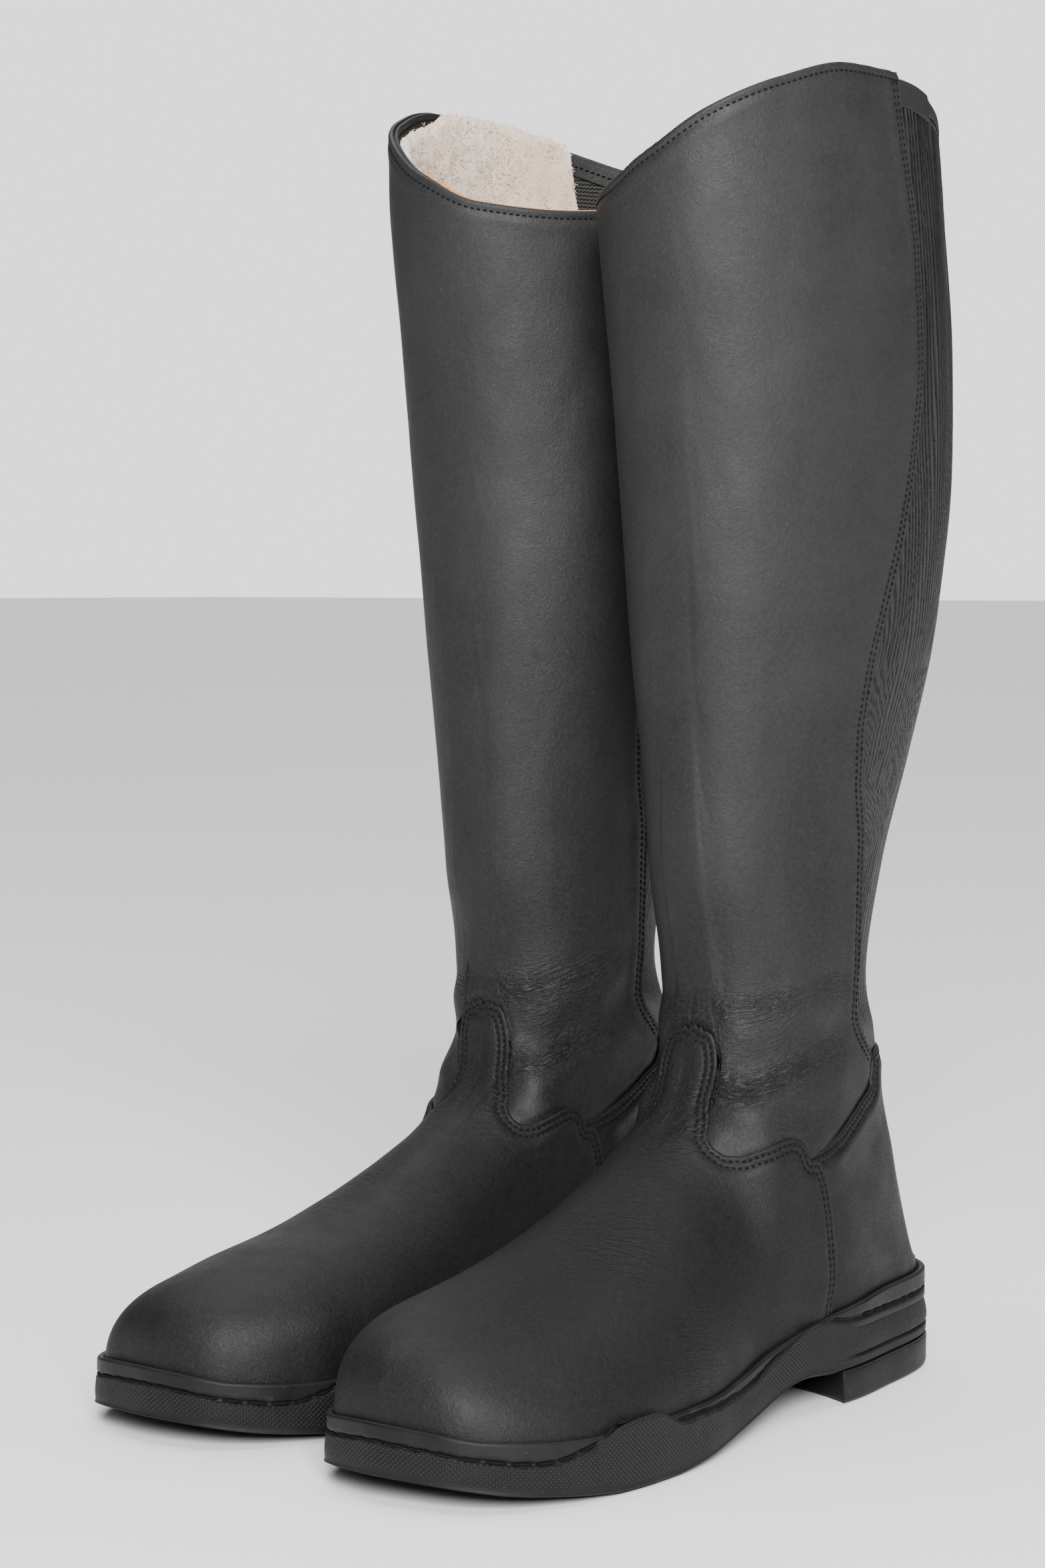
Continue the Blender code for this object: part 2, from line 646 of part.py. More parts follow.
def add_inside_of_sole(boot, look):
    """Filler, shank, insole board and footbed, from the floor up."""
    add_slab(boot, "forepart_filler", 0.0040, GAP, 0.0015, look["board"], start=0.165, count=10)
    add_slab(boot, "insole_board", 0.0015, 0.0019, 0.0037, look["board"])
    add_slab(boot, "footbed", 0.0136, 0.0042, 0.0100, look["fleece"])
    y = np.linspace(0.040, 0.155, 9)
    rings = []
    for lift in (GAP, 0.0015):
        z = floor(lift)(-y)
        outer = np.stack([np.full_like(y, 0.006), -y, z], -1)
        inner = np.stack([np.full_like(y, -0.006), -y, z], -1)
        rings.append(np.concatenate([outer, inner[::-1]]))
    boot.loft("shank", rings, look["steel"])


# ---------------------------------------------------------------- assembly


def add_boot(name, side, behind, collection, cutters, look):
    boot = Boot(name, side, behind, collection, cutters)
    add_outsole(boot, look)
    add_heel(boot, look)
    add_welt(boot, look)
    add_inside_of_sole(boot, look)
    add_vamp(boot, look)
    add_counter(boot, look)
    add_ankle(boot, look)
    add_leg(boot, look)
    add_foot_linings(boot, look)
    add_stiffeners(boot, look)
    return boot


def centre_over_origin(boots):
    """Moves the pair so that its box is centred on the Z axis."""
    bpy.context.view_layer.update()
    corners = [made.matrix_world @ Vector(corner)
               for boot in boots for made in boot.collection.objects if made.type == "MESH"
               for corner in made.bound_box]
    middle = (min(c.y for c in corners) + max(c.y for c in corners)) / 2
    for boot in boots:
        boot.foot.location.y -= middle


def main():
    for made in list(bpy.data.objects):
        bpy.data.objects.remove(made, do_unlink=True)
    parts = bpy.data.collections.new("riding_boots")
    bpy.context.scene.collection.children.link(parts)
    cutters = bpy.data.collections.new("cutters")
    bpy.context.scene.collection.children.link(cutters)
    look = make_materials()
    boots = [
        add_boot("left", 1, 0.0, parts, cutters, look),
        add_boot("right", -1, STAGGER, parts, cutters, look),
    ]
    centre_over_origin(boots)


main()
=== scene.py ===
"""Looks for a pair of tall riding boots: leather, pleated gusset, fleece, stitching and rubber sole.

The frame is the CAD model's: metres, +Z up, toes towards -Y. One boot is drawn in its own frame,
as in the CAD model: x to the outer side, y = 0 near the back of the heel. The right boot is its
mirror image. Each visible CAD node is replaced by a detailed piece in the same place.
"""

import math

import bpy
import numpy as np
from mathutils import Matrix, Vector, kdtree


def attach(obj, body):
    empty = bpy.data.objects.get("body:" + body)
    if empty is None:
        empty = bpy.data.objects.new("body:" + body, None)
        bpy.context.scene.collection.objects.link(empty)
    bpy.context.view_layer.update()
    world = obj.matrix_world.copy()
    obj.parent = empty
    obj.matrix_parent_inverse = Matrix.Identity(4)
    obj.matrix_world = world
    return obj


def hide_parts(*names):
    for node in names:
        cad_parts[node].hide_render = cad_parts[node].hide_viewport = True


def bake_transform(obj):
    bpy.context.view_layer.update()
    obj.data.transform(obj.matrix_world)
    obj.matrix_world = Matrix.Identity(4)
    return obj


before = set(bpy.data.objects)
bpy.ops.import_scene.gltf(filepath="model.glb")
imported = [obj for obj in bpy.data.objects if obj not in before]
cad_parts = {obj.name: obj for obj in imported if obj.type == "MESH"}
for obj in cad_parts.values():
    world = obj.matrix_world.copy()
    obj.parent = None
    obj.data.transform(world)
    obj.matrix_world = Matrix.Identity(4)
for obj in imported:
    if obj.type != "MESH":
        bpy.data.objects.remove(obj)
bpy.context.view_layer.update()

# ---------------------------------------------------------------- dimensions shared with the CAD model

HALF_SPACING = 0.0517
TOE_OUT = 0.0162
LEFT_Y = 0.14096
RIGHT_Y = 0.15096

FEATHER = 0.020          # where the upper starts to arch over the foot
ARCH_RISE = 2.45
ARCH_SPREAD = 1.90
LEG_SQUARE = 2.10
CREST = 0.006            # the instep's crest leans this far inwards
# height, y of the front, y of the back, half width
PROFILE = (
    (0.018, -0.2960, 0.0060, 0.0350), (0.034, -0.2950, 0.0030, 0.0340),
    (0.044, -0.2900, -0.0030, 0.0335), (0.051, -0.2780, -0.0060, 0.0330),
    (0.057, -0.2540, -0.0085, 0.0325), (0.064, -0.2190, -0.0110, 0.0320),
    (0.074, -0.1900, -0.0145, 0.0315), (0.084, -0.1690, -0.0170, 0.0315),
    (0.094, -0.1500, -0.0210, 0.0315), (0.104, -0.1325, -0.0250, 0.0320),
    (0.114, -0.1275, -0.0280, 0.0325), (0.126, -0.1255, -0.0315, 0.0330),
    (0.150, -0.1245, -0.0395, 0.0335), (0.190, -0.1325, -0.0285, 0.0350),
    (0.230, -0.1355, -0.0140, 0.0398), (0.280, -0.1395, 0.0018, 0.0462),
    (0.330, -0.1435, 0.0078, 0.0495), (0.380, -0.1490, 0.0066, 0.0509),
    (0.430, -0.1555, 0.0000, 0.0509), (0.485, -0.1575, -0.0070, 0.0490),
)
RIDGE = [(0.0, 0.400), (0.100, 0.215)]   # how far forward, and the height of the foot's top there
RIDGE += sorted((-row[1], row[0]) for row in PROFILE if 0.034 <= row[0] <= 0.150)
# distance from the heel, and how far the foot reaches to the outer and the inner side
FOOTPRINT = (
    (-0.0030, 0.0000, 0.0000), (0.003, 0.0135, -0.0135), (0.010, 0.0210, -0.0212),
    (0.025, 0.0282, -0.0285), (0.055, 0.0340, -0.0330), (0.085, 0.0382, -0.0340),
    (0.110, 0.0385, -0.0325), (0.128, 0.0392, -0.0318), (0.160, 0.0450, -0.0345), (0.195, 0.0525, -0.0400),
    (0.225, 0.0545, -0.0440), (0.250, 0.0520, -0.0430), (0.270, 0.0455, -0.0370),
    (0.283, 0.0370, -0.0290), (0.291, 0.0260, -0.0190), (0.296, 0.0000, -0.0000),
)
# distance from the heel, and height
WELT_TOP = ((0.000, 0.0365), (0.045, 0.0365), (0.093, 0.0330), (0.134, 0.0265), (0.180, 0.0205),
            (0.246, 0.0200), (0.286, 0.0225), (0.300, 0.0265))
FOXING_TOP = ((0.000, 0.0285), (0.083, 0.0290), (0.105, 0.0315), (0.128, 0.0245), (0.165, 0.0170),
              (0.205, 0.0172), (0.221, 0.0232), (0.236, 0.0226), (0.252, 0.0168), (0.268, 0.0136),
              (0.290, 0.0165), (0.300, 0.0200))
SOLE_BOTTOM = ((0.000, 0.0118), (0.094, 0.0118), (0.112, 0.0130), (0.123, 0.0120), (0.136, 0.0094),
               (0.166, 0.0046), (0.198, 0.0008), (0.210, 0.0000), (0.238, 0.0000), (0.250, 0.0012),
               (0.262, 0.0025), (0.281, 0.0048), (0.300, 0.0086))
SOLE_OVERHANG = 0.0038
HEEL_BREAST = 0.0900
BREAST_HOLLOW = 0.0100
HEEL_TOP = 0.0116
# fraction of the way round from the back, and height
TOP_LINE = ((0.00, 0.4520), (0.08, 0.4600), (0.15, 0.4675), (0.22, 0.4725), (0.29, 0.4735),
            (0.36, 0.4665), (0.43, 0.4555), (0.50, 0.4410), (0.56, 0.4315), (0.64, 0.4285),
            (0.74, 0.4320), (0.84, 0.4405), (0.93, 0.4480), (1.00, 0.4520))
# height, and y
GUSSET_SEAM = ((0.122, -0.0560), (0.139, -0.0695), (0.158, -0.0680), (0.198, -0.0695),
               (0.225, -0.0757), (0.243, -0.0773), (0.262, -0.0762), (0.286, -0.0710),
               (0.309, -0.0645), (0.340, -0.0582), (0.373, -0.0550), (0.410, -0.0580),
               (0.454, -0.0690), (0.480, -0.0740))
GUSSET_FOOT = 0.122
# fraction of the way round from the back, alike on both sides, and height
COUNTER_EDGE = ((0.000, 0.1240), (0.150, 0.1225), (0.172, 0.1180), (0.184, 0.1100), (0.210, 0.1055),
                (0.241, 0.0985), (0.271, 0.0915), (0.280, 0.0915))
VAMP_EDGE = ((0.2800, 0.0885), (0.2915, 0.0925), (0.3083, 0.0959), (0.3247, 0.0971), (0.3360, 0.0963),
             (0.3450, 0.0944), (0.3553, 0.0922), (0.3648, 0.0922), (0.3782, 0.0935), (0.3975, 0.0962),
             (0.4185, 0.0996), (0.4415, 0.1048), (0.4545, 0.1106), (0.4600, 0.1180), (0.4625, 0.1260),
             (0.4665, 0.1320), (0.4740, 0.1345), (0.5000, 0.1360))
# height, and y
QUARTER_SEAM = ((0.015, -0.0933), (0.034, -0.0933), (0.051, -0.0919), (0.077, -0.0937),
                (0.0885, -0.0978), (0.095, -0.1020))
QUARTER_TOP = 0.0885
LASTING = 0.0055         # the upper runs this far down inside the welt
FLOOR_DROP = 0.0105      # from the top of the welt to the floor of the sole
BAND_HEIGHT = 0.0110
BAND_DROP = 0.0020       # the band's fold stands this far below the top of the leg leather
FACING_HEIGHT = 0.0125

# ---------------------------------------------------------------- how the leather and thread are laid

FLEECE_LAP = 0.09        # fraction of the way round that the fleece laps over the elastic
LEATHER = 0.0016
OVERLAP = 0.0080         # how far one leather runs under the next
LAP_LIFT = 0.0011        # an overlapping leather stands this far out at its edge
STITCH_IN = 0.0020       # from an edge to the first row of stitches
STITCH_ROWS = 0.0024     # between two rows
STITCH_PITCH = 0.0024
STITCH_SHARE = 0.76      # part of the pitch over which the thread shows
THREAD_RADIUS = 0.00042
TOP_STITCH_IN = 0.0029   # the single row along the top edge
LOCK_SHARE = 0.85        # part of the places that have a lock of wool
LOCK_LENGTH = 0.0018
LOCK_RADIUS = 0.00017
TREAD_PITCH = 0.0085     # from one bar of the tread to the next
CHEVRON = 0.22           # how far a bar leans back for each metre outwards
BORDER = (0.0, 0.0002, 0.0005, 0.0009, 0.0014, 0.0021, 0.0030)   # fine rows next to an edge


def curve(table, column, at):
    """Monotone cubic through one column of a table whose first column is the key."""
    key = np.array([row[0] for row in table], float)
    value = np.array([row[column] for row in table], float)
    step = np.diff(key)
    slope = np.diff(value) / step
    tangent = np.zeros(len(key))
    rising = slope[:-1] * slope[1:] > 0
    near = 2 * step[1:] + step[:-1]
    far = step[1:] + 2 * step[:-1]
    safe = np.where(rising[:, None], np.stack([slope[:-1], slope[1:]], 1), 1.0)
    tangent[1:-1] = np.where(rising, (near + far) / (near / safe[:, 0] + far / safe[:, 1]), 0.0)
    tangent[0] = slope[0]
    tangent[-1] = slope[-1]
    at = np.clip(np.asarray(at, float), key[0], key[-1])
    i = np.clip(np.searchsorted(key, at, side="right") - 1, 0, len(key) - 2)
    h = step[i]
    t = (at - key[i]) / h
    start = (1 + 2 * t) * (1 - t) ** 2 * value[i] + t * (1 - t) ** 2 * h * tangent[i]
    end = t * t * (3 - 2 * t) * value[i + 1] + t * t * (t - 1) * h * tangent[i + 1]
    return start + end


def smooth(x):
    """0 below 0, 1 above 1, and an even turn between."""
    x = np.clip(x, 0, 1)
    return x * x * (3 - 2 * x)


def run_along(points, axis=0):
    """The distance run from the first point, along one axis of a grid of points."""
    gone = np.cumsum(np.linalg.norm(np.diff(points, axis=axis), axis=-1), axis=axis)
    return np.concatenate([np.zeros_like(np.take(gone, [0], axis)), gone], axis)


def points_at(places, run, points):
    """The points that lie at these distances along a line of points."""
    return np.stack([np.interp(places, run, column) for column in points.T], 1)


def raised(across, along, height):
    """Points at a height over places on the floor. Along runs from heel to toe."""
    return np.stack([across, -along, np.broadcast_to(height, np.shape(across))], -1)


def tree_of(points):
    """A search tree that finds the nearest of these points."""
    tree = kdtree.KDTree(len(points))
    for i, point in enumerate(points):
        tree.insert(point, i)
    tree.balance()
    return tree


def noise(x, y, seed):
    """Smooth noise from -1 to 1 whose lattice has a spacing of 1."""
    lattice = np.random.default_rng(seed).uniform(-1, 1, (256, 256))
    x, y = np.broadcast_arrays(np.asarray(x, float), np.asarray(y, float))
    i, j = np.floor(x).astype(int), np.floor(y).astype(int)
    a, b = x - i, y - j
    a, b = (t * t * t * (t * (t * 6 - 15) + 10) for t in (a, b))
    low = lattice[i % 256, j % 256] * (1 - a) + lattice[(i + 1) % 256, j % 256] * a
    high = lattice[i % 256, (j + 1) % 256] * (1 - a) + lattice[(i + 1) % 256, (j + 1) % 256] * a
    return low * (1 - b) + high * b


# ---------------------------------------------------------------- the upper's surface


def arch_height(y, z):
    ridge = curve(RIDGE, 1, -y)
    return np.clip((z - FEATHER) / np.maximum(ridge - FEATHER, 1e-4), 0, 1)


def half_width(y, z, outer):
    front, back, wide = (curve(PROFILE, column, z) for column in (1, 2, 3))
    heel_end = -FOOTPRINT[0][0]
    along = y + (heel_end - back) * np.clip((y + 0.09) / (back + 0.09), 0, 1)
    foot = np.abs(curve(FOOTPRINT, 1 if outer else 2, -along))
    foot = foot * (1 - arch_height(y, z) ** ARCH_RISE) ** (1 / ARCH_SPREAD)
    off = np.clip(np.abs(y - (front + back) / 2) / ((back - front) / 2), 0, 1)
    leg = wide * (1 - off ** LEG_SQUARE) ** (1 / LEG_SQUARE)
    rise = smooth((z - 0.055) / 0.105)
    return foot * (1 - rise) + leg * rise


def crest_shift(y, z):
    along = np.clip((-y - 0.090) / 0.060, 0, 1) * np.clip((0.300 + y) / 0.045, 0, 1)
    fade = 1 - smooth((z - 0.10) / 0.05)
    return CREST * smooth(along) * smooth(arch_height(y, z) * 1.3) * fade


def rough_upper(s, z):
    """The CAD model's outer face: s goes once round from the back seam, by the outer side."""
    s, z = np.broadcast_arrays(np.asarray(s, float), np.asarray(z, float))
    front, back = curve(PROFILE, 1, z), curve(PROFILE, 2, z)
    y = back + (front - back) * (1 - np.cos(2 * np.pi * s)) / 2
    outer, inner = half_width(y, z, True), -half_width(y, z, False)
    return np.stack([np.where(s % 1.0 < 0.5, outer, inner) - crest_shift(y, z), y, z], -1)


def welt_top(y):
    return curve(WELT_TOP, 1, -y)


def lasting_edge(s):
    """The lower edge of the upper, inside the welt."""
    z = np.full(np.shape(s), 0.026)
    for _ in range(4):
        z = welt_top(rough_upper(s, z)[..., 1]) - LASTING
    return z


def cubic_weights(t):
    return (((-t + 2) * t - 1) * t / 2, ((3 * t - 5) * t * t + 2) / 2, ((-3 * t + 4) * t + 1) * t / 2,
            (t - 1) * t * t / 2)


class Surface:
    """The same face relaxed into one smooth grid, which every piece of the upper is cut from."""

    AROUND = 720
    ROWS = 420
    HEIGHTS = 1200
    TOP = 0.487

    def __init__(self):
        ways = np.arange(self.AROUND) / self.AROUND
        low = lasting_edge(ways) - 0.005
        z = low + (self.TOP - low) * np.linspace(0, 1, 900)[:, None]
        run = run_along(rough_upper(ways, z))
        even = np.linspace(0, 1, self.ROWS)
        self.base = low.min()
        self.step = (self.TOP - self.base) / (self.HEIGHTS - 1)
        levels = self.base + self.step * np.arange(self.HEIGHTS)
        heights = np.empty((self.ROWS, self.AROUND))
        self.row_at = np.empty((self.HEIGHTS, self.AROUND))
        for i in range(self.AROUND):
            heights[:, i] = np.interp(even * run[-1, i], run[:, i], z[:, i])
            self.row_at[:, i] = np.interp(levels, heights[:, i], np.arange(self.ROWS))
        grid = rough_upper(ways, heights)
        for _ in range(45):
            around = (np.roll(grid, 1, 1) + np.roll(grid, -1, 1)) / 2
            grid[1:-1] += 0.5 * (((grid[2:] + grid[:-2]) / 2 + around[1:-1]) / 2 - grid[1:-1])
        self.grid = grid

    def at(self, s, z):
        """Points of the relaxed face. The cubic runs through the four grid points each way."""
        s, z = np.broadcast_arrays(np.asarray(s, float), np.asarray(z, float))
        across = (s % 1.0) * self.AROUND
        column = np.floor(across).astype(int)
        part = across - column
        level = np.clip((z - self.base) / self.step, 0, self.HEIGHTS - 1.001)
        k = level.astype(int)
        f = level - k
        left, right = column % self.AROUND, (column + 1) % self.AROUND
        row = (self.row_at[k, left] * (1 - f) + self.row_at[k + 1, left] * f) * (1 - part)
        row = row + (self.row_at[k, right] * (1 - f) + self.row_at[k + 1, right] * f) * part
        i = np.clip(np.floor(row).astype(int), 1, self.ROWS - 3)
        up, side = cubic_weights(row - i), cubic_weights(part)
        point = 0.0
        for a in range(4):
            for b in range(4):
                weight = up[a] * side[b]
                point = point + weight[..., None] * self.grid[i + a - 1, (column + b - 1) % self.AROUND]
        return point


upper = Surface()


def round_at(y, z):
    front, back = curve(PROFILE, 1, z), curve(PROFILE, 2, z)
    t = np.clip((y - back) / (front - back), 0, 1)
    return np.arccos(1 - 2 * t) / (2 * np.pi)


def mirrored(s):
    s = np.mod(s, 1.0)
    return np.where(s > 0.5, 1 - s, s)


def gusset_edge(z):
    z = np.maximum(z, GUSSET_FOOT)
    return round_at(curve(GUSSET_SEAM, 1, z), z)


def quarter_edge(z):
    z = np.minimum(z, QUARTER_TOP)
    return round_at(curve(QUARTER_SEAM, 1, z), z)


def top_line(s):
    return curve(TOP_LINE, 1, np.mod(s, 1.0))


def counter_edge(s):
    return curve(COUNTER_EDGE, 1, mirrored(s))


def vamp_edge(s):
    return curve(VAMP_EDGE, 1, mirrored(s))


def foot_edge(s):
    return np.where(mirrored(s) < 0.275, counter_edge(s), vamp_edge(s))


# ---------------------------------------------------------------- panels


class Panel:
    """A grid of points cut from the upper, with its normals and its distances along and up."""

    def __init__(self, places, place, low, high, step, edges=(True, True)):
        start = np.full(len(places), 0.10)
        end = np.full(len(places), 0.40)
        for _ in range(10):
            start = low(place(places, start))
            end = high(place(places, end))
        z = start + (end - start) * np.linspace(0, 1, 220)[:, None]
        run = run_along(upper.at(place(places, z), z))
        border = np.array(BORDER)
        rows = max(int(run[-1].max() / step), 4)
        self.z = []
        for i in range(len(places)):
            total = run[-1, i]
            first = border * min(1, total / 0.012) if edges[0] else border[:1]
            last = border * min(1, total / 0.012) if edges[1] else border[:1]
            middle = np.linspace(first[-1], total - last[-1], rows)[1:-1]
            wanted = np.concatenate([first, middle, total - last[::-1]])
            self.z.append(np.interp(wanted, run[:, i], z[:, i]))
        self.z = np.stack(self.z, 1)
        self.s = place(places, self.z)
        self.points = upper.at(self.s, self.z)
        self.shape = self.z.shape
        self.closed = False
        self.share = np.broadcast_to(places, self.shape)
        self.level = self.z
        self.fold = np.zeros(self.shape)
        self.measure()

    def measure(self):
        """Normals, and distances in metres along the rows (u) and up the columns (v)."""
        here = self.points
        if self.closed:
            here = np.concatenate([here[:, -1:], here, here[:, :1]], 1)
        up = np.gradient(here, axis=0)
        along = np.gradient(here, axis=1)
        out = np.cross(up, along)
        out /= np.maximum(np.linalg.norm(out, axis=-1, keepdims=True), 1e-12)
        self.normals = out[:, 1:-1] if self.closed else out
        self.u = run_along(self.points, 1)
        self.u -= self.u[:, self.shape[1] // 2][:, None]
        self.v = run_along(self.points)

    def close(self):
        self.closed = True
        self.measure()
        return self

    def at(self, height):
        """The grid moved out from the face by a height in metres."""
        return self.points + self.normals * np.asarray(height)[..., None]

    def noise(self, across, up, seed):
        """Noise over the leather, whose spots have a size across and up in metres."""
        return noise(self.u / across, self.v / up, seed)

    def distance(self, line):
        """How far each point lies from a line of points."""
        tree = tree_of(line)
        flat = self.points.reshape(-1, 3)
        return np.array([tree.find(point)[2] for point in flat]).reshape(self.shape)


def line_on(s, z):
    """A dense line of points on the face, half a millimetre apart."""
    points = upper.at(s, z)
    run = run_along(points)
    return points_at(np.linspace(0, run[-1], int(run[-1] / 0.0005) + 2), run, points)


def band(level, centre, width):
    """1 at the centre, and falling away evenly on both sides."""
    return np.exp(-((level - centre) / width) ** 2)


def edge_fall(distance, depth=0.0006, width=0.0012):
    """A rounded edge: how far the outer face drops next to it."""
    return depth * (1 - np.clip(distance / width, 0, 1)) ** 2


def sewn(distance, first=STITCH_IN, rows=2):
    """Leather drawn in along rows of stitches, and puffed up on both sides of them."""
    height = np.zeros_like(distance)
    for row in range(rows):
        height -= 0.00048 * band(distance - first, row * STITCH_ROWS, 0.0007)
    last = first + (rows - 1) * STITCH_ROWS
    height += 0.00030 * band(distance - last, 0.0030, 0.0022)
    return height


def lumps(panel, size, seed):
    """Soft unevenness of a given size in metres, over a face that turns any way."""
    x, y, z = (panel.points[..., k] / size for k in range(3))
    return 0.6 * (noise(y + 0.4 * x, z, seed) + noise(x, y - 0.4 * z, seed + 1))


# ---------------------------------------------------------------- pieces and boots


def quads(rows, columns, closed=False, start=0, flip=False):
    """Four corners for each cell of a grid."""
    i = np.arange(rows - 1)[:, None] * columns
    j = np.arange(columns if closed else columns - 1)[None, :]
    k = (j + 1) % columns
    cells = np.stack(np.broadcast_arrays(i + j, i + j + columns, i + k + columns, i + k), -1)
    cells = cells.reshape(-1, 4) + start
    return cells[:, ::-1] if flip else cells


def rims(lines, count):
    """Faces that join the edges of two sheets, of which the second starts at count."""
    faces = []
    for line, flip in lines:
        rim = np.stack([line[:-1], line[1:], line[1:] + count, line[:-1] + count], -1)
        faces.append(rim[:, ::-1] if flip else rim)
    return faces


def add_object(name, data):
    made = bpy.data.objects.new(name, data)
    bpy.context.scene.collection.objects.link(made)
    return made


def mesh_of(name, points, faces, material, attributes):
    """A smooth mesh of four-sided faces, with attributes for its material."""
    mesh = bpy.data.meshes.new(name)
    mesh.vertices.add(len(points))
    mesh.vertices.foreach_set("co", np.ascontiguousarray(points, np.float32).ravel())
    mesh.loops.add(faces.size)
    mesh.loops.foreach_set("vertex_index", np.ascontiguousarray(faces, np.int32).ravel())
    mesh.polygons.add(len(faces))
    mesh.polygons.foreach_set("loop_start", np.arange(0, faces.size, 4, dtype=np.int32))
    mesh.update(calc_edges=True)
    mesh.shade_smooth()
    for key, values in attributes.items():
        kind = "FLOAT_VECTOR" if values.ndim == 2 else "FLOAT"
        made = mesh.attributes.new(key, kind, "POINT")
        made.data.foreach_set("vector" if values.ndim == 2 else "value", values.astype(np.float32).ravel())
    mesh.materials.append(material)
    return add_object(name, mesh)


class Boot:
    """Places pieces drawn in the boot's own frame, and hides the CAD nodes that each one replaces."""

    def __init__(self, name, side, behind):
        self.name = name
        self.side = side
        self.behind = behind
        self.seed = 0 if side > 0 else 500

    def place(self, points):
        turn = self.side * TOE_OUT
        x, y, z = points[..., 0] * self.side, points[..., 1], points[..., 2]
        across = x * math.cos(turn) - y * math.sin(turn) + self.side * HALF_SPACING
        along = x * math.sin(turn) + y * math.cos(turn) + self.behind
        return np.stack([across, along, z], -1)

    def piece(self, name, points, faces, material, slot, nodes=(), body=None, **attributes):
        """A piece that rides on a body, or whose place is baked into its mesh where no body is given."""
        if self.side < 0:
            faces = faces[:, ::-1]
        attributes["rest"] = points + np.array([1.0 * self.side, 0, 0])
        made = mesh_of(f"{self.name}_{name}", self.place(points), faces, material, attributes)
        if nodes:
            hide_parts(*[f"{self.name}_{node}" for node in nodes])
        if body:
            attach(made, f"{self.name}_{body}")
        else:
            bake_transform(made)
        return made

    def shell(self, name, panel, outer, inner, material, slot, nodes=(), body=None):
        """A closed skin between two heights over a panel."""
        rows, columns = panel.shape
        count = rows * columns
        points = np.concatenate([panel.at(outer).reshape(-1, 3), panel.at(inner).reshape(-1, 3)])
        faces = [quads(rows, columns, panel.closed), quads(rows, columns, panel.closed, count, True)]
        index = np.arange(count).reshape(rows, columns)
        lines = [(index[0], False), (index[-1], True)]
        if panel.closed:
            lines = [(np.append(line, line[0]), flip) for line, flip in lines]
        else:
            lines += [(index[:, 0], True), (index[:, -1], False)]
        faces += rims(lines, count)
        along = np.stack([panel.u, panel.v, panel.level], -1).reshape(-1, 3)
        return self.piece(name, points, np.concatenate(faces), material, slot, nodes, body,
                          along=np.concatenate([along, along]), fold=np.tile(panel.fold.ravel(), 2))


# ---------------------------------------------------------------- materials


class Look:
    """A Principled material built up node by node."""

    def __init__(self, name, **sockets):
        self.material = bpy.data.materials.new(name)
        self.material.use_nodes = True
        self.tree = self.material.node_tree
        self.shader = self.tree.nodes["Principled BSDF"]
        self.bump = None
        for key, value in sockets.items():
            self.shader.inputs[key.replace("_", " ")].default_value = value

    def node(self, kind, settings=(), **inputs):
        made = self.tree.nodes.new("ShaderNode" + kind)
        for key, value in dict(settings).items():
            setattr(made, key, value)
        for key, value in inputs.items():
            socket = made.inputs[int(key[1:])] if key[0] == "i" and key[1:].isdigit() else made.inputs[key]
            if isinstance(value, bpy.types.NodeSocket):
                self.tree.links.new(value, socket)
            else:
                socket.default_value = value
        return made

    def attribute(self, name, output="Vector"):
        return self.node("Attribute", {"attribute_name": name}).outputs[output]

    def parts(self, vector):
        return self.node("SeparateXYZ", (), Vector=vector).outputs

    def math(self, operation, *values):
        named = {f"i{i}": value for i, value in enumerate(values)}
        return self.node("Math", {"operation": operation}, **named).outputs[0]

    def noise(self, where, scale, detail=3.0, roughness=0.55):
        return self.node("TexNoise", (), Vector=where, Scale=scale, Detail=detail,
                         Roughness=roughness).outputs["Fac"]

    def cells(self, where, scale, feature="DISTANCE_TO_EDGE"):
        return self.node("TexVoronoi", {"feature": feature}, Vector=where, Scale=scale).outputs["Distance"]

    def ramp(self, value, low, high, from_=0.0, to=1.0):
        """Value mapped from low..high to from_..to, and held at the ends."""
        made = self.node("MapRange", (), Value=value)
        for key, number in (("From Min", low), ("From Max", high), ("To Min", from_), ("To Max", to)):
            made.inputs[key].default_value = number
        return made.outputs["Result"]

    def mix(self, share, first, second):
        made = self.node("Mix", {"data_type": "RGBA"})
        for socket, value in zip((made.inputs[0], made.inputs[6], made.inputs[7]), (share, first, second)):
            if isinstance(value, bpy.types.NodeSocket):
                self.tree.links.new(value, socket)
            else:
                socket.default_value = value if isinstance(value, float) else (*value, 1.0)
        return made.outputs[2]

    def raise_(self, height, depth, strength=1.0):
        """Adds a bump on top of those before it."""
        made = self.node("Bump", (), Height=height, Strength=strength, Distance=depth)
        if self.bump is not None:
            self.tree.links.new(self.bump, made.inputs["Normal"])
        self.bump = made.outputs["Normal"]

    def done(self, colour, roughness):
        self.tree.links.new(colour, self.shader.inputs["Base Color"])
        self.tree.links.new(roughness, self.shader.inputs["Roughness"])
        if self.bump is not None:
            self.tree.links.new(self.bump, self.shader.inputs["Normal"])
        return self.material


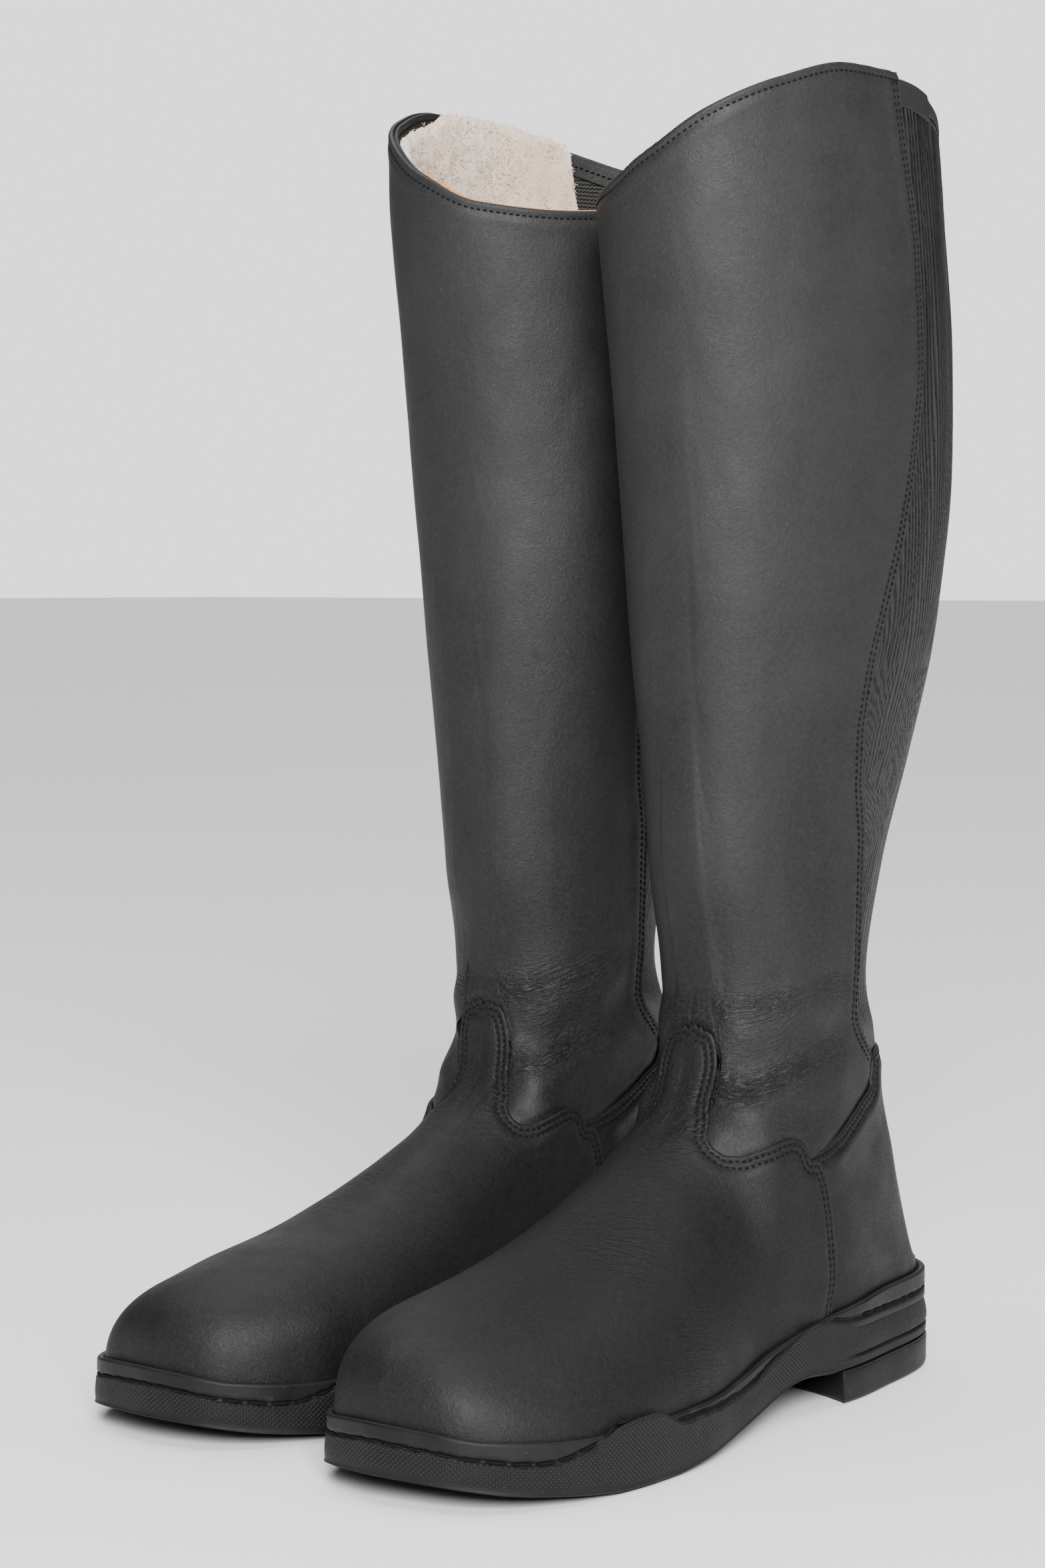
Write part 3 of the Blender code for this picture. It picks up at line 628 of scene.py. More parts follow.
def leather(name, dark, light, roughness, grain=1.0, coat=0.02):
    """Waxed leather: cloudy, with painted shade that makes it darker towards the ankle, with pores, creases
    and a few pale specks.
    """
    look = Look(name, Coat_Weight=coat, Coat_Roughness=0.42, Specular_IOR_Level=0.24)
    where = look.attribute("rest")
    cloud = look.noise(where, 26.0, 5.0, 0.6)
    height = look.parts(where)["Z"]
    fine = look.noise(where, 900.0, 3.0, 0.6)
    specks = look.cells(where, 260.0, "F1")
    dust = look.ramp(specks, 0.030, 0.070, 1.0, 0.0)
    colour = look.mix(look.ramp(cloud, 0.30, 0.72), dark, light)
    colour = look.mix(look.math("MULTIPLY", dust, 0.35), colour, (0.13, 0.125, 0.12))
    # painted shade: darker lower down, from 0.36 m and most below 0.10 m, standing in for less light on the
    # lower boot
    colour = look.mix(look.ramp(height, 0.10, 0.36, 0.62, 0.0), colour, (0.0030, 0.0030, 0.0031))
    wear = look.ramp(look.noise(where, 70.0, 6.0, 0.7), 0.30, 0.75, roughness - 0.07, roughness + 0.10)
    tooth = look.ramp(fine, 0.3, 0.7, -0.05, 0.05)
    mottle = look.noise(where, 700.0, 4.0, 0.65)
    colour = look.mix(look.ramp(mottle, 0.40, 0.75, 0.0, 0.30), colour, tuple(1.9 * c for c in light))
    u, _, level = look.parts(look.attribute("along"))
    flat = look.node("CombineXYZ", (), X=look.math("MULTIPLY", u, 85.0),
                     Y=look.math("MULTIPLY", level, 560.0)).outputs["Vector"]
    wave = look.math("ABSOLUTE", look.math("SUBTRACT", look.noise(flat, 1.0, 3.0, 0.55), 0.5))
    crease = look.ramp(wave, 0.0, 0.11)
    fold = look.attribute("fold", "Fac")
    look.raise_(look.math("MULTIPLY", crease, fold), 0.0009, 1.0)
    look.raise_(look.noise(where, 95.0, 4.0, 0.6), 0.0007, 0.35 * grain)
    look.raise_(look.cells(where, 850.0), 0.00022, 0.60 * grain)
    look.raise_(mottle, 0.00025, 0.6 * grain)
    look.raise_(fine, 0.00010, 0.7 * grain)
    return look.done(colour, look.math("ADD", wear, tooth))


def stretch_look(name):
    """Stretch leather: painted shade, near black, down in the pleats, and a painted highlight, paler, on
    their crests.
    """
    look = Look(name, Specular_IOR_Level=0.26, Coat_Weight=0.12, Coat_Roughness=0.36)
    where = look.attribute("rest")
    crest = look.attribute("fold", "Fac")
    grain = look.noise(where, 900.0, 4.0, 0.65)
    # painted highlight on the pleat crests and painted shade down in the pleats, both from the crest share
    colour = look.mix(look.ramp(crest, 0.55, 1.0), (0.0015, 0.0015, 0.0016), (0.026, 0.026, 0.0265))
    colour = look.mix(look.ramp(grain, 0.50, 0.75, 0.0, 0.3), colour, (0.030, 0.030, 0.0305))
    look.raise_(look.cells(where, 850.0), 0.0002, 0.4)
    look.raise_(grain, 0.0003, 0.7)
    return look.done(colour, look.ramp(grain, 0.3, 0.7, 0.32, 0.46))


def fleece_look(name):
    look = Look(name, Sheen_Weight=0.25, Sheen_Roughness=0.6, Specular_IOR_Level=0.15,
                Subsurface_Weight=0.0)
    where = look.attribute("rest")
    tint = look.ramp(look.noise(where, 28.0, 4.0), 0.35, 0.68)
    colour = look.mix(tint, (0.80, 0.60, 0.46), (0.90, 0.79, 0.67))
    shade = look.ramp(look.noise(where, 260.0, 4.0, 0.7), 0.25, 0.65, 0.75, 0.0)
    colour = look.mix(shade, colour, (0.60, 0.45, 0.35))
    look.raise_(look.noise(where, 420.0, 5.0, 0.75), 0.0011, 0.8)
    look.raise_(look.noise(where, 1500.0, 3.0, 0.7), 0.0004, 0.7)
    return look.done(colour, look.ramp(tint, 0, 1, 0.92, 1.0))


def hide_look(name):
    look = Look(name, Specular_IOR_Level=0.2)
    where = look.attribute("rest")
    nap = look.noise(where, 700.0, 4.0, 0.7)
    look.raise_(nap, 0.0002, 0.6)
    colour = look.mix(look.ramp(nap, 0.3, 0.7), (0.42, 0.16, 0.05), (0.72, 0.34, 0.13))
    return look.done(colour, look.ramp(nap, 0, 1, 0.8, 0.95))


def elastic_look(name):
    """Woven elastic: level ribs with a zigzag lean, and painted shade in the gaps between them."""
    look = Look(name, Specular_IOR_Level=0.25, Sheen_Weight=0.08)
    u, v, _ = look.parts(look.attribute("along"))
    sway = look.math("PINGPONG", u, 0.0009)
    rib = look.math("PINGPONG", look.math("ADD", v, look.math("MULTIPLY", sway, 0.60)), 0.00075)
    rib = look.ramp(rib, 0.0001, 0.0006)
    cross = look.ramp(look.math("PINGPONG", u, 0.00035), 0.0, 0.00035)
    where = look.attribute("rest")
    look.raise_(rib, 0.0009, 0.9)
    look.raise_(cross, 0.0002, 0.5)
    look.raise_(look.noise(where, 1400.0), 0.0002, 0.5)
    # painted shade: the gaps between the ribs are coloured near black and the ribs lighter
    colour = look.mix(rib, (0.003, 0.003, 0.002), (0.050, 0.049, 0.040))
    return look.done(colour, look.ramp(look.noise(where, 200.0), 0.2, 0.8, 0.70, 0.92))


def rubber(name, pattern, base=(0.0042, 0.0042, 0.0044), roughness=0.58):
    """Moulded rubber. Where the pattern attribute is 1 it has a fine diamond mesh in relief, with a painted
    highlight on its raised ribs.
    """
    look = Look(name, Specular_IOR_Level=0.22)
    where = look.attribute("rest")
    cloud = look.ramp(look.noise(where, 45.0, 5.0, 0.65), 0.35, 0.70)
    light = tuple(2.2 * c for c in base)
    colour = look.mix(cloud, base, light)
    if pattern:
        u, v, mask = look.parts(look.attribute("along"))
        lean = look.math("MULTIPLY", v, 1.05)
        waves = [look.math("PINGPONG", look.math(way, u, lean), 0.00092) for way in ("SUBTRACT", "ADD")]
        ribs, across = (look.ramp(wave, 0.00015, 0.00075) for wave in waves)
        both = look.attribute("crossed", "Fac")
        across = look.math("ADD", look.math("MULTIPLY", across, both), look.math("SUBTRACT", 1.0, both))
        mesh = look.math("MULTIPLY", look.math("MULTIPLY", ribs, across), mask)
        look.raise_(mesh, 0.0007, 1.0)
        # painted highlight: the raised ribs of the diamond mesh are coloured lighter
        colour = look.mix(look.math("MULTIPLY", mesh, 0.40), colour, (0.055, 0.055, 0.057))
    scuffs = look.ramp(look.noise(where, 34.0, 8.0, 0.75), 0.62, 0.70)
    colour = look.mix(look.math("MULTIPLY", scuffs, 0.30), colour, (0.055, 0.055, 0.057))
    dust = look.ramp(look.cells(where, 260.0, "F1"), 0.03, 0.07, 0.35, 0.0)
    colour = look.mix(dust, colour, (0.12, 0.12, 0.12))
    look.raise_(look.noise(where, 500.0, 4.0, 0.7), 0.00018, 0.6)
    return look.done(colour, look.ramp(cloud, 0, 1, roughness, roughness + 0.14))


def thread_look(name):
    look = Look(name, Specular_IOR_Level=0.10)
    where = look.attribute("rest")
    fibre = look.noise(where, 2600.0, 2.0)
    look.raise_(fibre, 0.0002, 0.8)
    colour = look.mix(fibre, (0.002, 0.002, 0.002), (0.010, 0.010, 0.0105))
    return look.done(colour, look.ramp(fibre, 0.3, 0.7, 0.75, 0.95))


def board_look(name):
    look = Look(name)
    where = look.node("TexCoord").outputs["Object"]
    fibre = look.noise(where, 300.0, 6.0, 0.7)
    look.raise_(fibre, 0.0003, 0.5)
    colour = look.mix(look.ramp(fibre, 0.3, 0.7), (0.24, 0.16, 0.09), (0.42, 0.31, 0.20))
    return look.done(colour, look.ramp(fibre, 0, 1, 0.8, 0.95))


def steel_look(name):
    look = Look(name, Metallic=1.0)
    where = look.node("TexCoord").outputs["Object"]
    stretched = look.node("Mapping", (), Vector=where, Scale=(900.0, 30.0, 900.0)).outputs["Vector"]
    streak = look.noise(stretched, 1.0, 4.0)
    look.raise_(streak, 0.00005, 0.5)
    colour = look.mix(streak, (0.42, 0.42, 0.44), (0.62, 0.62, 0.63))
    return look.done(colour, look.ramp(streak, 0.3, 0.7, 0.28, 0.42))


LEG = leather("leg_leather", (0.0110, 0.0110, 0.0113), (0.0185, 0.0184, 0.0187), 0.56)
VAMP = leather("vamp_leather", (0.0060, 0.0060, 0.0062), (0.0120, 0.0119, 0.0122), 0.60, 1.1)
COUNTER = leather("counter_leather", (0.0045, 0.0045, 0.0047), (0.0085, 0.0085, 0.0087), 0.56)
STRETCH = stretch_look("stretch_leather")
FLEECE = fleece_look("fleece")
HIDE = hide_look("undyed_hide")
ELASTIC = elastic_look("woven_elastic")
SOLE = rubber("sole_rubber", True)
HEEL = rubber("heel_rubber", False, (0.0040, 0.0040, 0.0042), 0.54)
WELT = rubber("welt_rubber", False, (0.0046, 0.0046, 0.0048), 0.50)
THREAD = thread_look("black_thread")
BOARD = board_look("fibre_board")
STEEL = steel_look("spring_steel")


# ---------------------------------------------------------------- stitches and tufts


def inward_line(edge, normals, distance):
    """A line beside an edge, on the left of its direction, at a distance from it."""
    along = np.gradient(edge, axis=0)
    along /= np.linalg.norm(along, axis=1, keepdims=True)
    beside = np.cross(normals, along)
    moved = edge + beside * distance
    tree = tree_of(edge)
    kept = [point for point in moved if tree.find(point)[2] > distance * 0.96]
    return np.array(kept)


def settle(points, surface, normals):
    """Points pulled straight onto a surface given by its vertices, and the normals there."""
    tree = tree_of(surface)
    nearest = np.array([tree.find(point)[1] for point in points])
    out = normals[nearest]
    away = np.sum((points - surface[nearest]) * out, axis=1, keepdims=True)
    return points - out * away, out


def even_places(points, pitch):
    """Places one pitch apart on a line, leaving out where it jumps, with the direction at each."""
    jumps = np.linalg.norm(np.diff(points, axis=0), axis=1)
    runs = np.split(points, np.nonzero(jumps > 0.004)[0] + 1)
    places, ways = [], []
    for run in runs:
        if len(run) < 4:
            continue
        length = run_along(run)
        count = int(length[-1] / pitch)
        if count < 2:
            continue
        at = (np.arange(count) + 0.5) * length[-1] / count
        before, here, after = (points_at(at + shift, length, run) for shift in (-0.0008, 0.0, 0.0008))
        places.append(here)
        ways.append(after - before)
    ways = np.concatenate(ways)
    return np.concatenate(places), ways / np.linalg.norm(ways, axis=1, keepdims=True)


def threads(places, ways, normals, length, radius, stations=7, sides=6):
    """A bent thread at each place: it comes up out of the leather and goes down again."""
    t = np.linspace(-1, 1, stations)
    rise = radius * (1.05 * np.cos(t * math.pi / 2) ** 0.7 - 0.75)
    thick = radius * (0.55 + 0.45 * np.cos(t * math.pi / 2))
    turn = np.arange(sides) * 2 * math.pi / sides
    across = np.cross(ways, normals)
    ring = np.stack([np.cos(turn), np.sin(turn)], -1)
    points = places[:, None, None] + ways[:, None, None] * (t * length / 2)[None, :, None, None]
    points = points + normals[:, None, None] * rise[None, :, None, None]
    points = points + across[:, None, None] * (thick[:, None] * ring[:, 0])[None, :, :, None]
    points = points + normals[:, None, None] * (thick[:, None] * ring[:, 1])[None, :, :, None]
    one = quads(stations, sides, True, 0, True)
    cap = np.array([[0, 1, 2, 3], [3, 4, 5, 0]])
    one = np.concatenate([one, cap, cap[:, ::-1] + (stations - 1) * sides])
    faces = (one[None] + (np.arange(len(places)) * stations * sides)[:, None, None]).reshape(-1, 4)
    return points.reshape(-1, 3), faces


def stitch_rows(boot, name, edges, panel, outer, rows=2, first=STITCH_IN, body=None, inside=False):
    """Rows of stitches beside each edge of a panel. Every edge has its panel on its left."""
    surface = panel.at(outer).reshape(-1, 3)
    out = panel.normals.reshape(-1, 3) * (-1 if inside else 1)
    points, faces, count = [], [], 0
    for edge in edges:
        _, at_edge = settle(edge, surface, panel.normals.reshape(-1, 3))
        for row in range(rows):
            line = inward_line(edge, at_edge, first + row * STITCH_ROWS)
            line, _ = settle(line, surface, out)
            places, ways = even_places(line, STITCH_PITCH)
            places, normals = settle(places, surface, out)
            ways = ways - normals * np.sum(ways * normals, axis=1, keepdims=True)
            made, cells = threads(places, ways, normals, STITCH_PITCH * STITCH_SHARE, THREAD_RADIUS)
            points.append(made)
            faces.append(cells + count)
            count += len(made)
    return boot.piece(name, np.concatenate(points), np.concatenate(faces), THREAD, "vamp_leather",
                      body=body)


def tufts(places, normals, random, length, radius):
    """Curled locks of wool, one at each place: a bent, tapering tube."""
    stations, sides = 5, 4
    count = len(places)
    lean = random.normal(0, 1, (count, 3))
    lean -= normals * np.sum(lean * normals, axis=1, keepdims=True)
    lean /= np.linalg.norm(lean, axis=1, keepdims=True)
    side = np.cross(normals, lean)
    size = length * random.uniform(0.6, 1.25, count)
    curl = random.uniform(0.6, 1.6, count)
    t = np.linspace(0, 1, stations)
    forward = size[:, None] * 0.75 * np.sin(curl[:, None] * t) / curl[:, None]
    height = size[:, None] * (0.65 * t - 0.30 * t * t * curl[:, None])
    sway = size[:, None] * 0.22 * np.sin(t * 3.0 + random.uniform(0, 6, count)[:, None])
    centre = places[:, None] + lean[:, None] * forward[..., None] + normals[:, None] * height[..., None]
    centre = centre + side[:, None] * sway[..., None]
    thick = radius * (1.0 - 0.75 * t ** 2)
    turn = np.arange(sides) * 2 * math.pi / sides
    points = centre[:, :, None] + side[:, None, None] * (thick[:, None] * np.cos(turn))[None, ..., None]
    points = points + normals[:, None, None] * (thick[:, None] * np.sin(turn) * 0.8)[None, ..., None]
    one = quads(stations, sides, True, 0, True)
    one = np.concatenate([one, [[0, 1, 2, 3]], np.array([[3, 2, 1, 0]]) + (stations - 1) * sides])
    faces = (one[None] + (np.arange(count) * stations * sides)[:, None, None]).reshape(-1, 4)
    return points.reshape(-1, 3), faces


# ---------------------------------------------------------------- leather of the leg


def shaft_place(share, z):
    start = gusset_edge(z)
    return start + (1 - 2 * start) * share


def add_shaft(boot):
    """Leg and ankle leather in one piece, over the gusset's edges and under vamp and counter."""
    places = spread_share(0.0017)
    panel = Panel(places, shaft_place, lambda s: foot_edge(s) - OVERLAP, top_line, 0.0017)
    z = np.linspace(GUSSET_FOOT, 0.47, 700)
    start = gusset_edge(z)
    seam_top = [np.searchsorted(z, top_line(start[-1])), np.searchsorted(z, top_line(1 - start[-1]))]
    outer_seam = line_on(start[:seam_top[0]], z[:seam_top[0]])
    inner_seam = line_on(1 - start[:seam_top[1]], z[:seam_top[1]])
    s = np.linspace(gusset_edge(0.465), 1 - gusset_edge(0.44), 900)
    top = line_on(s, top_line(s))
    from_seam = np.minimum(panel.distance(outer_seam), panel.distance(inner_seam))
    from_top = panel.distance(top)
    outer = 0.0008 * smooth(1 - from_seam / 0.012)
    outer = outer - edge_fall(np.minimum(from_seam, from_top))
    outer = outer + sewn(from_seam) + sewn(from_top, TOP_STITCH_IN, 1)
    seed = boot.seed
    outer = outer + 0.0006 * panel.noise(0.050, 0.070, seed + 1)
    outer = outer + 0.00012 * panel.noise(0.012, 0.016, seed + 2)
    ways = np.linspace(0.16, 0.84, 1600)
    from_foot = panel.distance(line_on(ways, foot_edge(ways)))
    turn = mirrored(panel.s)
    panel.level = panel.z - 0.010 * smooth((0.43 - turn) / 0.18)
    level = panel.level + 0.0015 * panel.noise(0.020, 0.020, seed + 3)
    front = smooth((turn - 0.21) / 0.07) * smooth(from_foot / 0.009)
    outer = outer + front * (0.0010 * band(level, 0.1060, 0.0065) - 0.0015 * band(level, 0.1215, 0.0070))
    outer = outer + front * (0.0007 * band(level, 0.1345, 0.0060) - 0.0004 * band(level, 0.1440, 0.0050))
    uneven = 0.75 + 0.5 * panel.noise(0.018, 0.020, seed + 4)
    panel.fold = smooth((turn - 0.23) / 0.05) * uneven * (
        band(level, 0.1145, 0.0046) + 0.45 * band(level, 0.1410, 0.0050) + 0.15 * band(level, 0.128, 0.020))
    outer = outer - 0.0006 * band(from_foot, 0, 0.0016)
    hidden = smooth((foot_edge(panel.s) - panel.z + 0.0004) / 0.003)
    outer = outer * (1 - hidden) - 0.0014 * hidden
    pucker = panel.noise(0.004, 0.05, seed + 30) * band(from_seam, 0, 0.010)
    outer = outer + 0.00022 * pucker * smooth((0.24 - panel.z) / 0.05)
    boot.shell("shaft_leather", panel, outer, outer - LEATHER, LEG, "leg_leather",
               ("leg_panel", "ankle_panel"))
    stitch_rows(boot, "gusset_seam_stitches", [outer_seam, inner_seam[::-1]], panel, outer)
    stitch_rows(boot, "top_stitches", [top], panel, outer, 1, TOP_STITCH_IN)


def spread_share(step):
    """Shares of the way round the leg leather, finer at both seams."""
    edge = np.array(BORDER) / 0.30
    count = int(0.30 / step)
    return np.concatenate([edge, np.linspace(edge[-1], 1 - edge[-1], count)[1:-1], 1 - edge[::-1]])


def add_gusset(boot):
    """Pleated stretch leather: long wrinkles that fold over each other, finer towards the ankle."""
    places = np.linspace(-1, 1, 300)
    panel = Panel(places, lambda c, z: c * (gusset_edge(z) + 0.006),
                  lambda s: counter_edge(s) - OVERLAP, lambda s: top_line(s) - BAND_HEIGHT + 0.004, 0.0017,
                  (False, False))
    seed = boot.seed + 40
    u = panel.u
    v = panel.v
    high = smooth((panel.z - 0.20) / 0.20)
    wander = 0.0014 * noise(u / 0.012, v / 0.060, seed) + 0.0003 * noise(u / 0.005, v / 0.020, seed + 1)
    pitch = 0.0021 + 0.0009 * high
    folds = np.abs(np.sin(math.pi * (u + wander) / pitch + 1.5 * noise(u / 0.006, v / 0.05, seed + 2)))
    strength = 0.75 + 0.25 * noise(u / 0.004, v / 0.045, seed + 3)
    fine = np.abs(noise(u / 0.0011, v / 0.030, seed + 4))
    depth = 0.0008 + 0.0005 * high
    share = panel.share
    outer = -0.0009 + 0.0012 * (1 - share ** 4)
    outer = outer - depth * (1 - folds ** 0.6) * strength + 0.00008 * fine * (0.4 + 0.6 * high)
    outer = outer + 0.0006 * noise(u / 0.020, v / 0.060, seed + 5) * (1 - share ** 2)
    # crest share: the stretch leather paints a highlight on the crests and shade in the pleats from it
    panel.fold = folds ** 0.6 * (0.55 + 0.45 * strength)
    bulge = band(panel.z, 0.133, 0.006)
    outer = outer + 0.0012 * bulge * smooth((np.abs(share) - 0.3) / 0.4) - 0.0006 * bulge
    boot.shell("pleated_gusset", panel, outer, outer * 0 - 0.0026, STRETCH, "stretch_leather",
               ("stretch_gusset", "ankle_gusset"))


def add_band(boot):
    """The leather folded over the top of the gusset, sewn along its lower edge."""
    places = np.linspace(-1, 1, 110)
    panel = Panel(places, lambda c, z: c * (gusset_edge(z) + 0.010),
                  lambda s: top_line(s) - BAND_HEIGHT, lambda s: top_line(s) - BAND_DROP, 0.0007)
    s = np.linspace(-0.17, 0.17, 500)
    top = line_on(s, top_line(s) - BAND_DROP)
    bottom = line_on(s, top_line(s) - BAND_HEIGHT)
    from_top, from_bottom = panel.distance(top), panel.distance(bottom)
    outer = -0.0004 + 0.0010 * (1 - panel.share ** 4) - edge_fall(from_top, 0.0016, 0.0022)
    outer = outer - edge_fall(from_bottom, 0.0005, 0.0010) + sewn(from_bottom, 0.0018, 1)
    outer = outer + 0.00025 * panel.noise(0.012, 0.006, boot.seed + 60)
    inner = -0.0050 + edge_fall(from_top, 0.0018, 0.0022)
    boot.shell("gusset_top_band", panel, outer, inner, LEG, "leg_leather", ("gusset_top_band",), "leg")
    stitch_rows(boot, "band_stitches", [bottom[::-1]], panel, outer, 1, 0.0018, "leg")
    stitch_rows(boot, "band_back_stitches", [bottom[::-1]], panel, inner, 1, 0.0036, "leg", inside=True)


def add_facing(boot):
    """The leather strip inside the top edge, with the back of the top stitching."""
    places = spread_share(0.0025)
    panel = Panel(places, shaft_place, lambda s: top_line(s) - FACING_HEIGHT,
                  lambda s: top_line(s) - 0.0003, 0.0010)
    s = np.linspace(gusset_edge(0.465), 1 - gusset_edge(0.44), 900)
    top, bottom = line_on(s, top_line(s)), line_on(s, top_line(s) - FACING_HEIGHT)
    from_top, from_bottom = panel.distance(top), panel.distance(bottom)
    rim = edge_fall(np.minimum(from_top, from_bottom), 0.0009)
    inner = -0.0036 - sewn(from_top, TOP_STITCH_IN, 1) + rim
    inner = inner + 0.00025 * panel.noise(0.010, 0.008, boot.seed + 70)
    outer = np.full(panel.shape, -0.0019) - edge_fall(from_top, 0.0004)
    boot.shell("top_facing", panel, outer, inner, VAMP, "vamp_leather", ("top_facing",), "leg")
    stitch_rows(boot, "facing_stitches", [top], panel, inner, 1, TOP_STITCH_IN, "leg", inside=True)


def add_raw_edge(boot):
    """The undyed edge of the fleece's hide, which shows along the front of the rim."""
    panel = Panel(np.linspace(0.49, 0.76, 120), lambda c, z: c + z * 0, lambda s: top_line(s) - 0.0030,
                  lambda s: top_line(s) + 0.0004, 0.0010, (False, False))
    ends = smooth((panel.s - 0.49) / 0.04) * smooth((0.76 - panel.s) / 0.03)
    wavy = 0.0002 * noise(panel.u / 0.006, panel.v * 0, boot.seed + 75)
    boot.shell("raw_edge", panel, -0.0032 + wavy, -0.0032 - 0.0009 * ends + wavy, HIDE, "fleece", (), "leg")


def add_elastic(boot):
    """The woven elastic behind the gusset, seen from inside the leg."""
    places = np.linspace(-1, 1, 90)
    panel = Panel(places, lambda c, z: c * (gusset_edge(z) + 0.004), lambda s: 0.185 + s * 0,
                  lambda s: top_line(s) - BAND_HEIGHT + 0.003, 0.0020, (False, False))
    inner = -0.0042 + 0.0003 * panel.noise(0.02, 0.03, boot.seed + 80)
    boot.shell("gusset_elastic", panel, np.full(panel.shape, -0.0030), inner, ELASTIC, "woven_elastic",
               ("gusset_elastic",), "leg")


# ---------------------------------------------------------------- fleece


def pile(panel, seed, depth):
    """The fleece's inner face: soft clumps, a few millimetres across."""
    clumps = panel.noise(0.006, 0.006, seed)
    clumps = clumps + 0.6 * panel.noise(0.003, 0.003, seed + 1)
    drift = panel.noise(0.025, 0.025, seed + 2)
    return -depth + 0.0007 * clumps + 0.0006 * drift


def fleece_start(z):
    """The fleece's outer edge, which laps over the elastic near the top of the leg."""
    return gusset_edge(z) - FLEECE_LAP * smooth((z - 0.30) / 0.08)


def fleece_place(share, z):
    first = fleece_start(z)
    return first + (1 - gusset_edge(z) - first) * share


def add_fleece(boot):
    """Lining of the leg, with locks of wool at its top, and the sock of foot and ankle."""
    seed = boot.seed + 100
    places = spread_share(0.0024)

    def ragged(s):
        uneven = 0.0006 * noise(s * 160, s * 0, seed) + 0.0005 * noise(s * 420, s * 0, seed + 1)
        behind = np.mod(s, 1.0) - fleece_start(top_line(s))
        return top_line(s) - 0.0048 + uneven + 0.0052 * smooth((0.170 - behind) / 0.040)
    panel = Panel(places, fleece_place, lambda s: 0.188 + s * 0, ragged, 0.0024, (False, True))
    inner = pile(panel, seed + 2, 0.0078)
    inner = inner + edge_fall(panel.v[-1:] - panel.v, 0.0026, 0.004)
    boot.shell("leg_fleece", panel, np.full(panel.shape, -0.0040), inner, FLEECE, "fleece",
               ("leg_lining",), "leg")
    random = np.random.default_rng(seed + 3)
    fine = Panel(spread_share(0.00100), fleece_place, lambda s: top_line(s) - FACING_HEIGHT - 0.065,
                 ragged, 0.00105, (False, False))
    chosen = random.random(fine.shape) < LOCK_SHARE
    rounded = edge_fall(fine.v[-1:] - fine.v, 0.0026, 0.004)
    base = fine.at(pile(fine, seed + 2, 0.0074) + rounded)
    spots = base[chosen] + random.normal(0, 0.0004, (chosen.sum(), 3))
    points, faces = tufts(spots, -fine.normals[chosen], random, LOCK_LENGTH, LOCK_RADIUS)
    boot.piece("fleece_locks", points, faces, FLEECE, "fleece", body="leg")
    whole = np.arange(0, 230) / 230
    sock = Panel(whole, lambda c, z: c + z * 0, lambda s: lasting_edge(s) + 0.003,
                 lambda s: 0.190 + s * 0, 0.0026, (False, False)).close()
    low = smooth((0.10 - sock.z) / 0.03)
    inner = pile(sock, seed + 4, 0.0078) - 0.0014 * low
    boot.shell("foot_fleece", sock, -0.0036 - 0.0024 * low, inner, FLEECE, "fleece",
               ("foot_lining", "ankle_lining"))


# ---------------------------------------------------------------- leather of the foot


def vamp_place(c, z):
    """c from -1 at the outer quarter seam, 0 at the front, to 1 at the inner quarter seam."""
    start = quarter_edge(z)
    return 0.5 + c * (0.5 - start)


def vamp_shares():
    """Shares across the vamp: even, with fine ones at the rear edges and at the tab's steep sides."""
    even = np.linspace(0, 1, 150)
    steep = np.concatenate([np.linspace(0.430, 0.455, 20), np.linspace(0.455, 0.468, 34)])
    tab = (0.5 - steep) / (0.5 - 0.2807)
    rear = 1 - np.array(BORDER) / 0.13
    half = np.unique(np.round(np.concatenate([even, tab, rear]), 5))
    return np.concatenate([-half[:0:-1], half])


def add_vamp(boot):
    """The front of the foot: it laps over the shaft and, at its rear edges, over the counter."""
    panel = Panel(vamp_shares(), vamp_place, lasting_edge, vamp_edge, 0.0015, (False, True))
    heights = np.linspace(0.028, QUARTER_TOP, 160)
    rear = quarter_edge(heights)
    across = np.linspace(rear[-1], 1 - rear[-1], 1500)
    ways = np.concatenate([rear[:-1], across, 1 - rear[-2::-1]])
    levels = np.concatenate([heights[:-1], vamp_edge(across), heights[-2::-1]])
    edge = line_on(ways, levels)
    distance = panel.distance(edge)
    seed = boot.seed + 140
    outer = LAP_LIFT * (1 - smooth((distance - 0.006) / 0.016))
    outer = outer * smooth((panel.z - 0.026) / 0.016)
    outer = outer + 0.00025 - edge_fall(distance) + sewn(distance)
    outer = outer + 0.00035 * lumps(panel, 0.035, seed) + 0.00008 * lumps(panel, 0.011, seed + 2)
    panel.level = panel.z + 0.25 * (panel.points[..., 1] + 0.15)
    panel.fold = 0.35 * band(panel.z, 0.108, 0.013) + 0.16 * band(panel.points[..., 1], -0.190, 0.020)
    boot.shell("vamp", panel, outer, outer - LEATHER, VAMP, "vamp_leather", ("vamp",))
    stitch_rows(boot, "vamp_stitches", [edge], panel, outer)


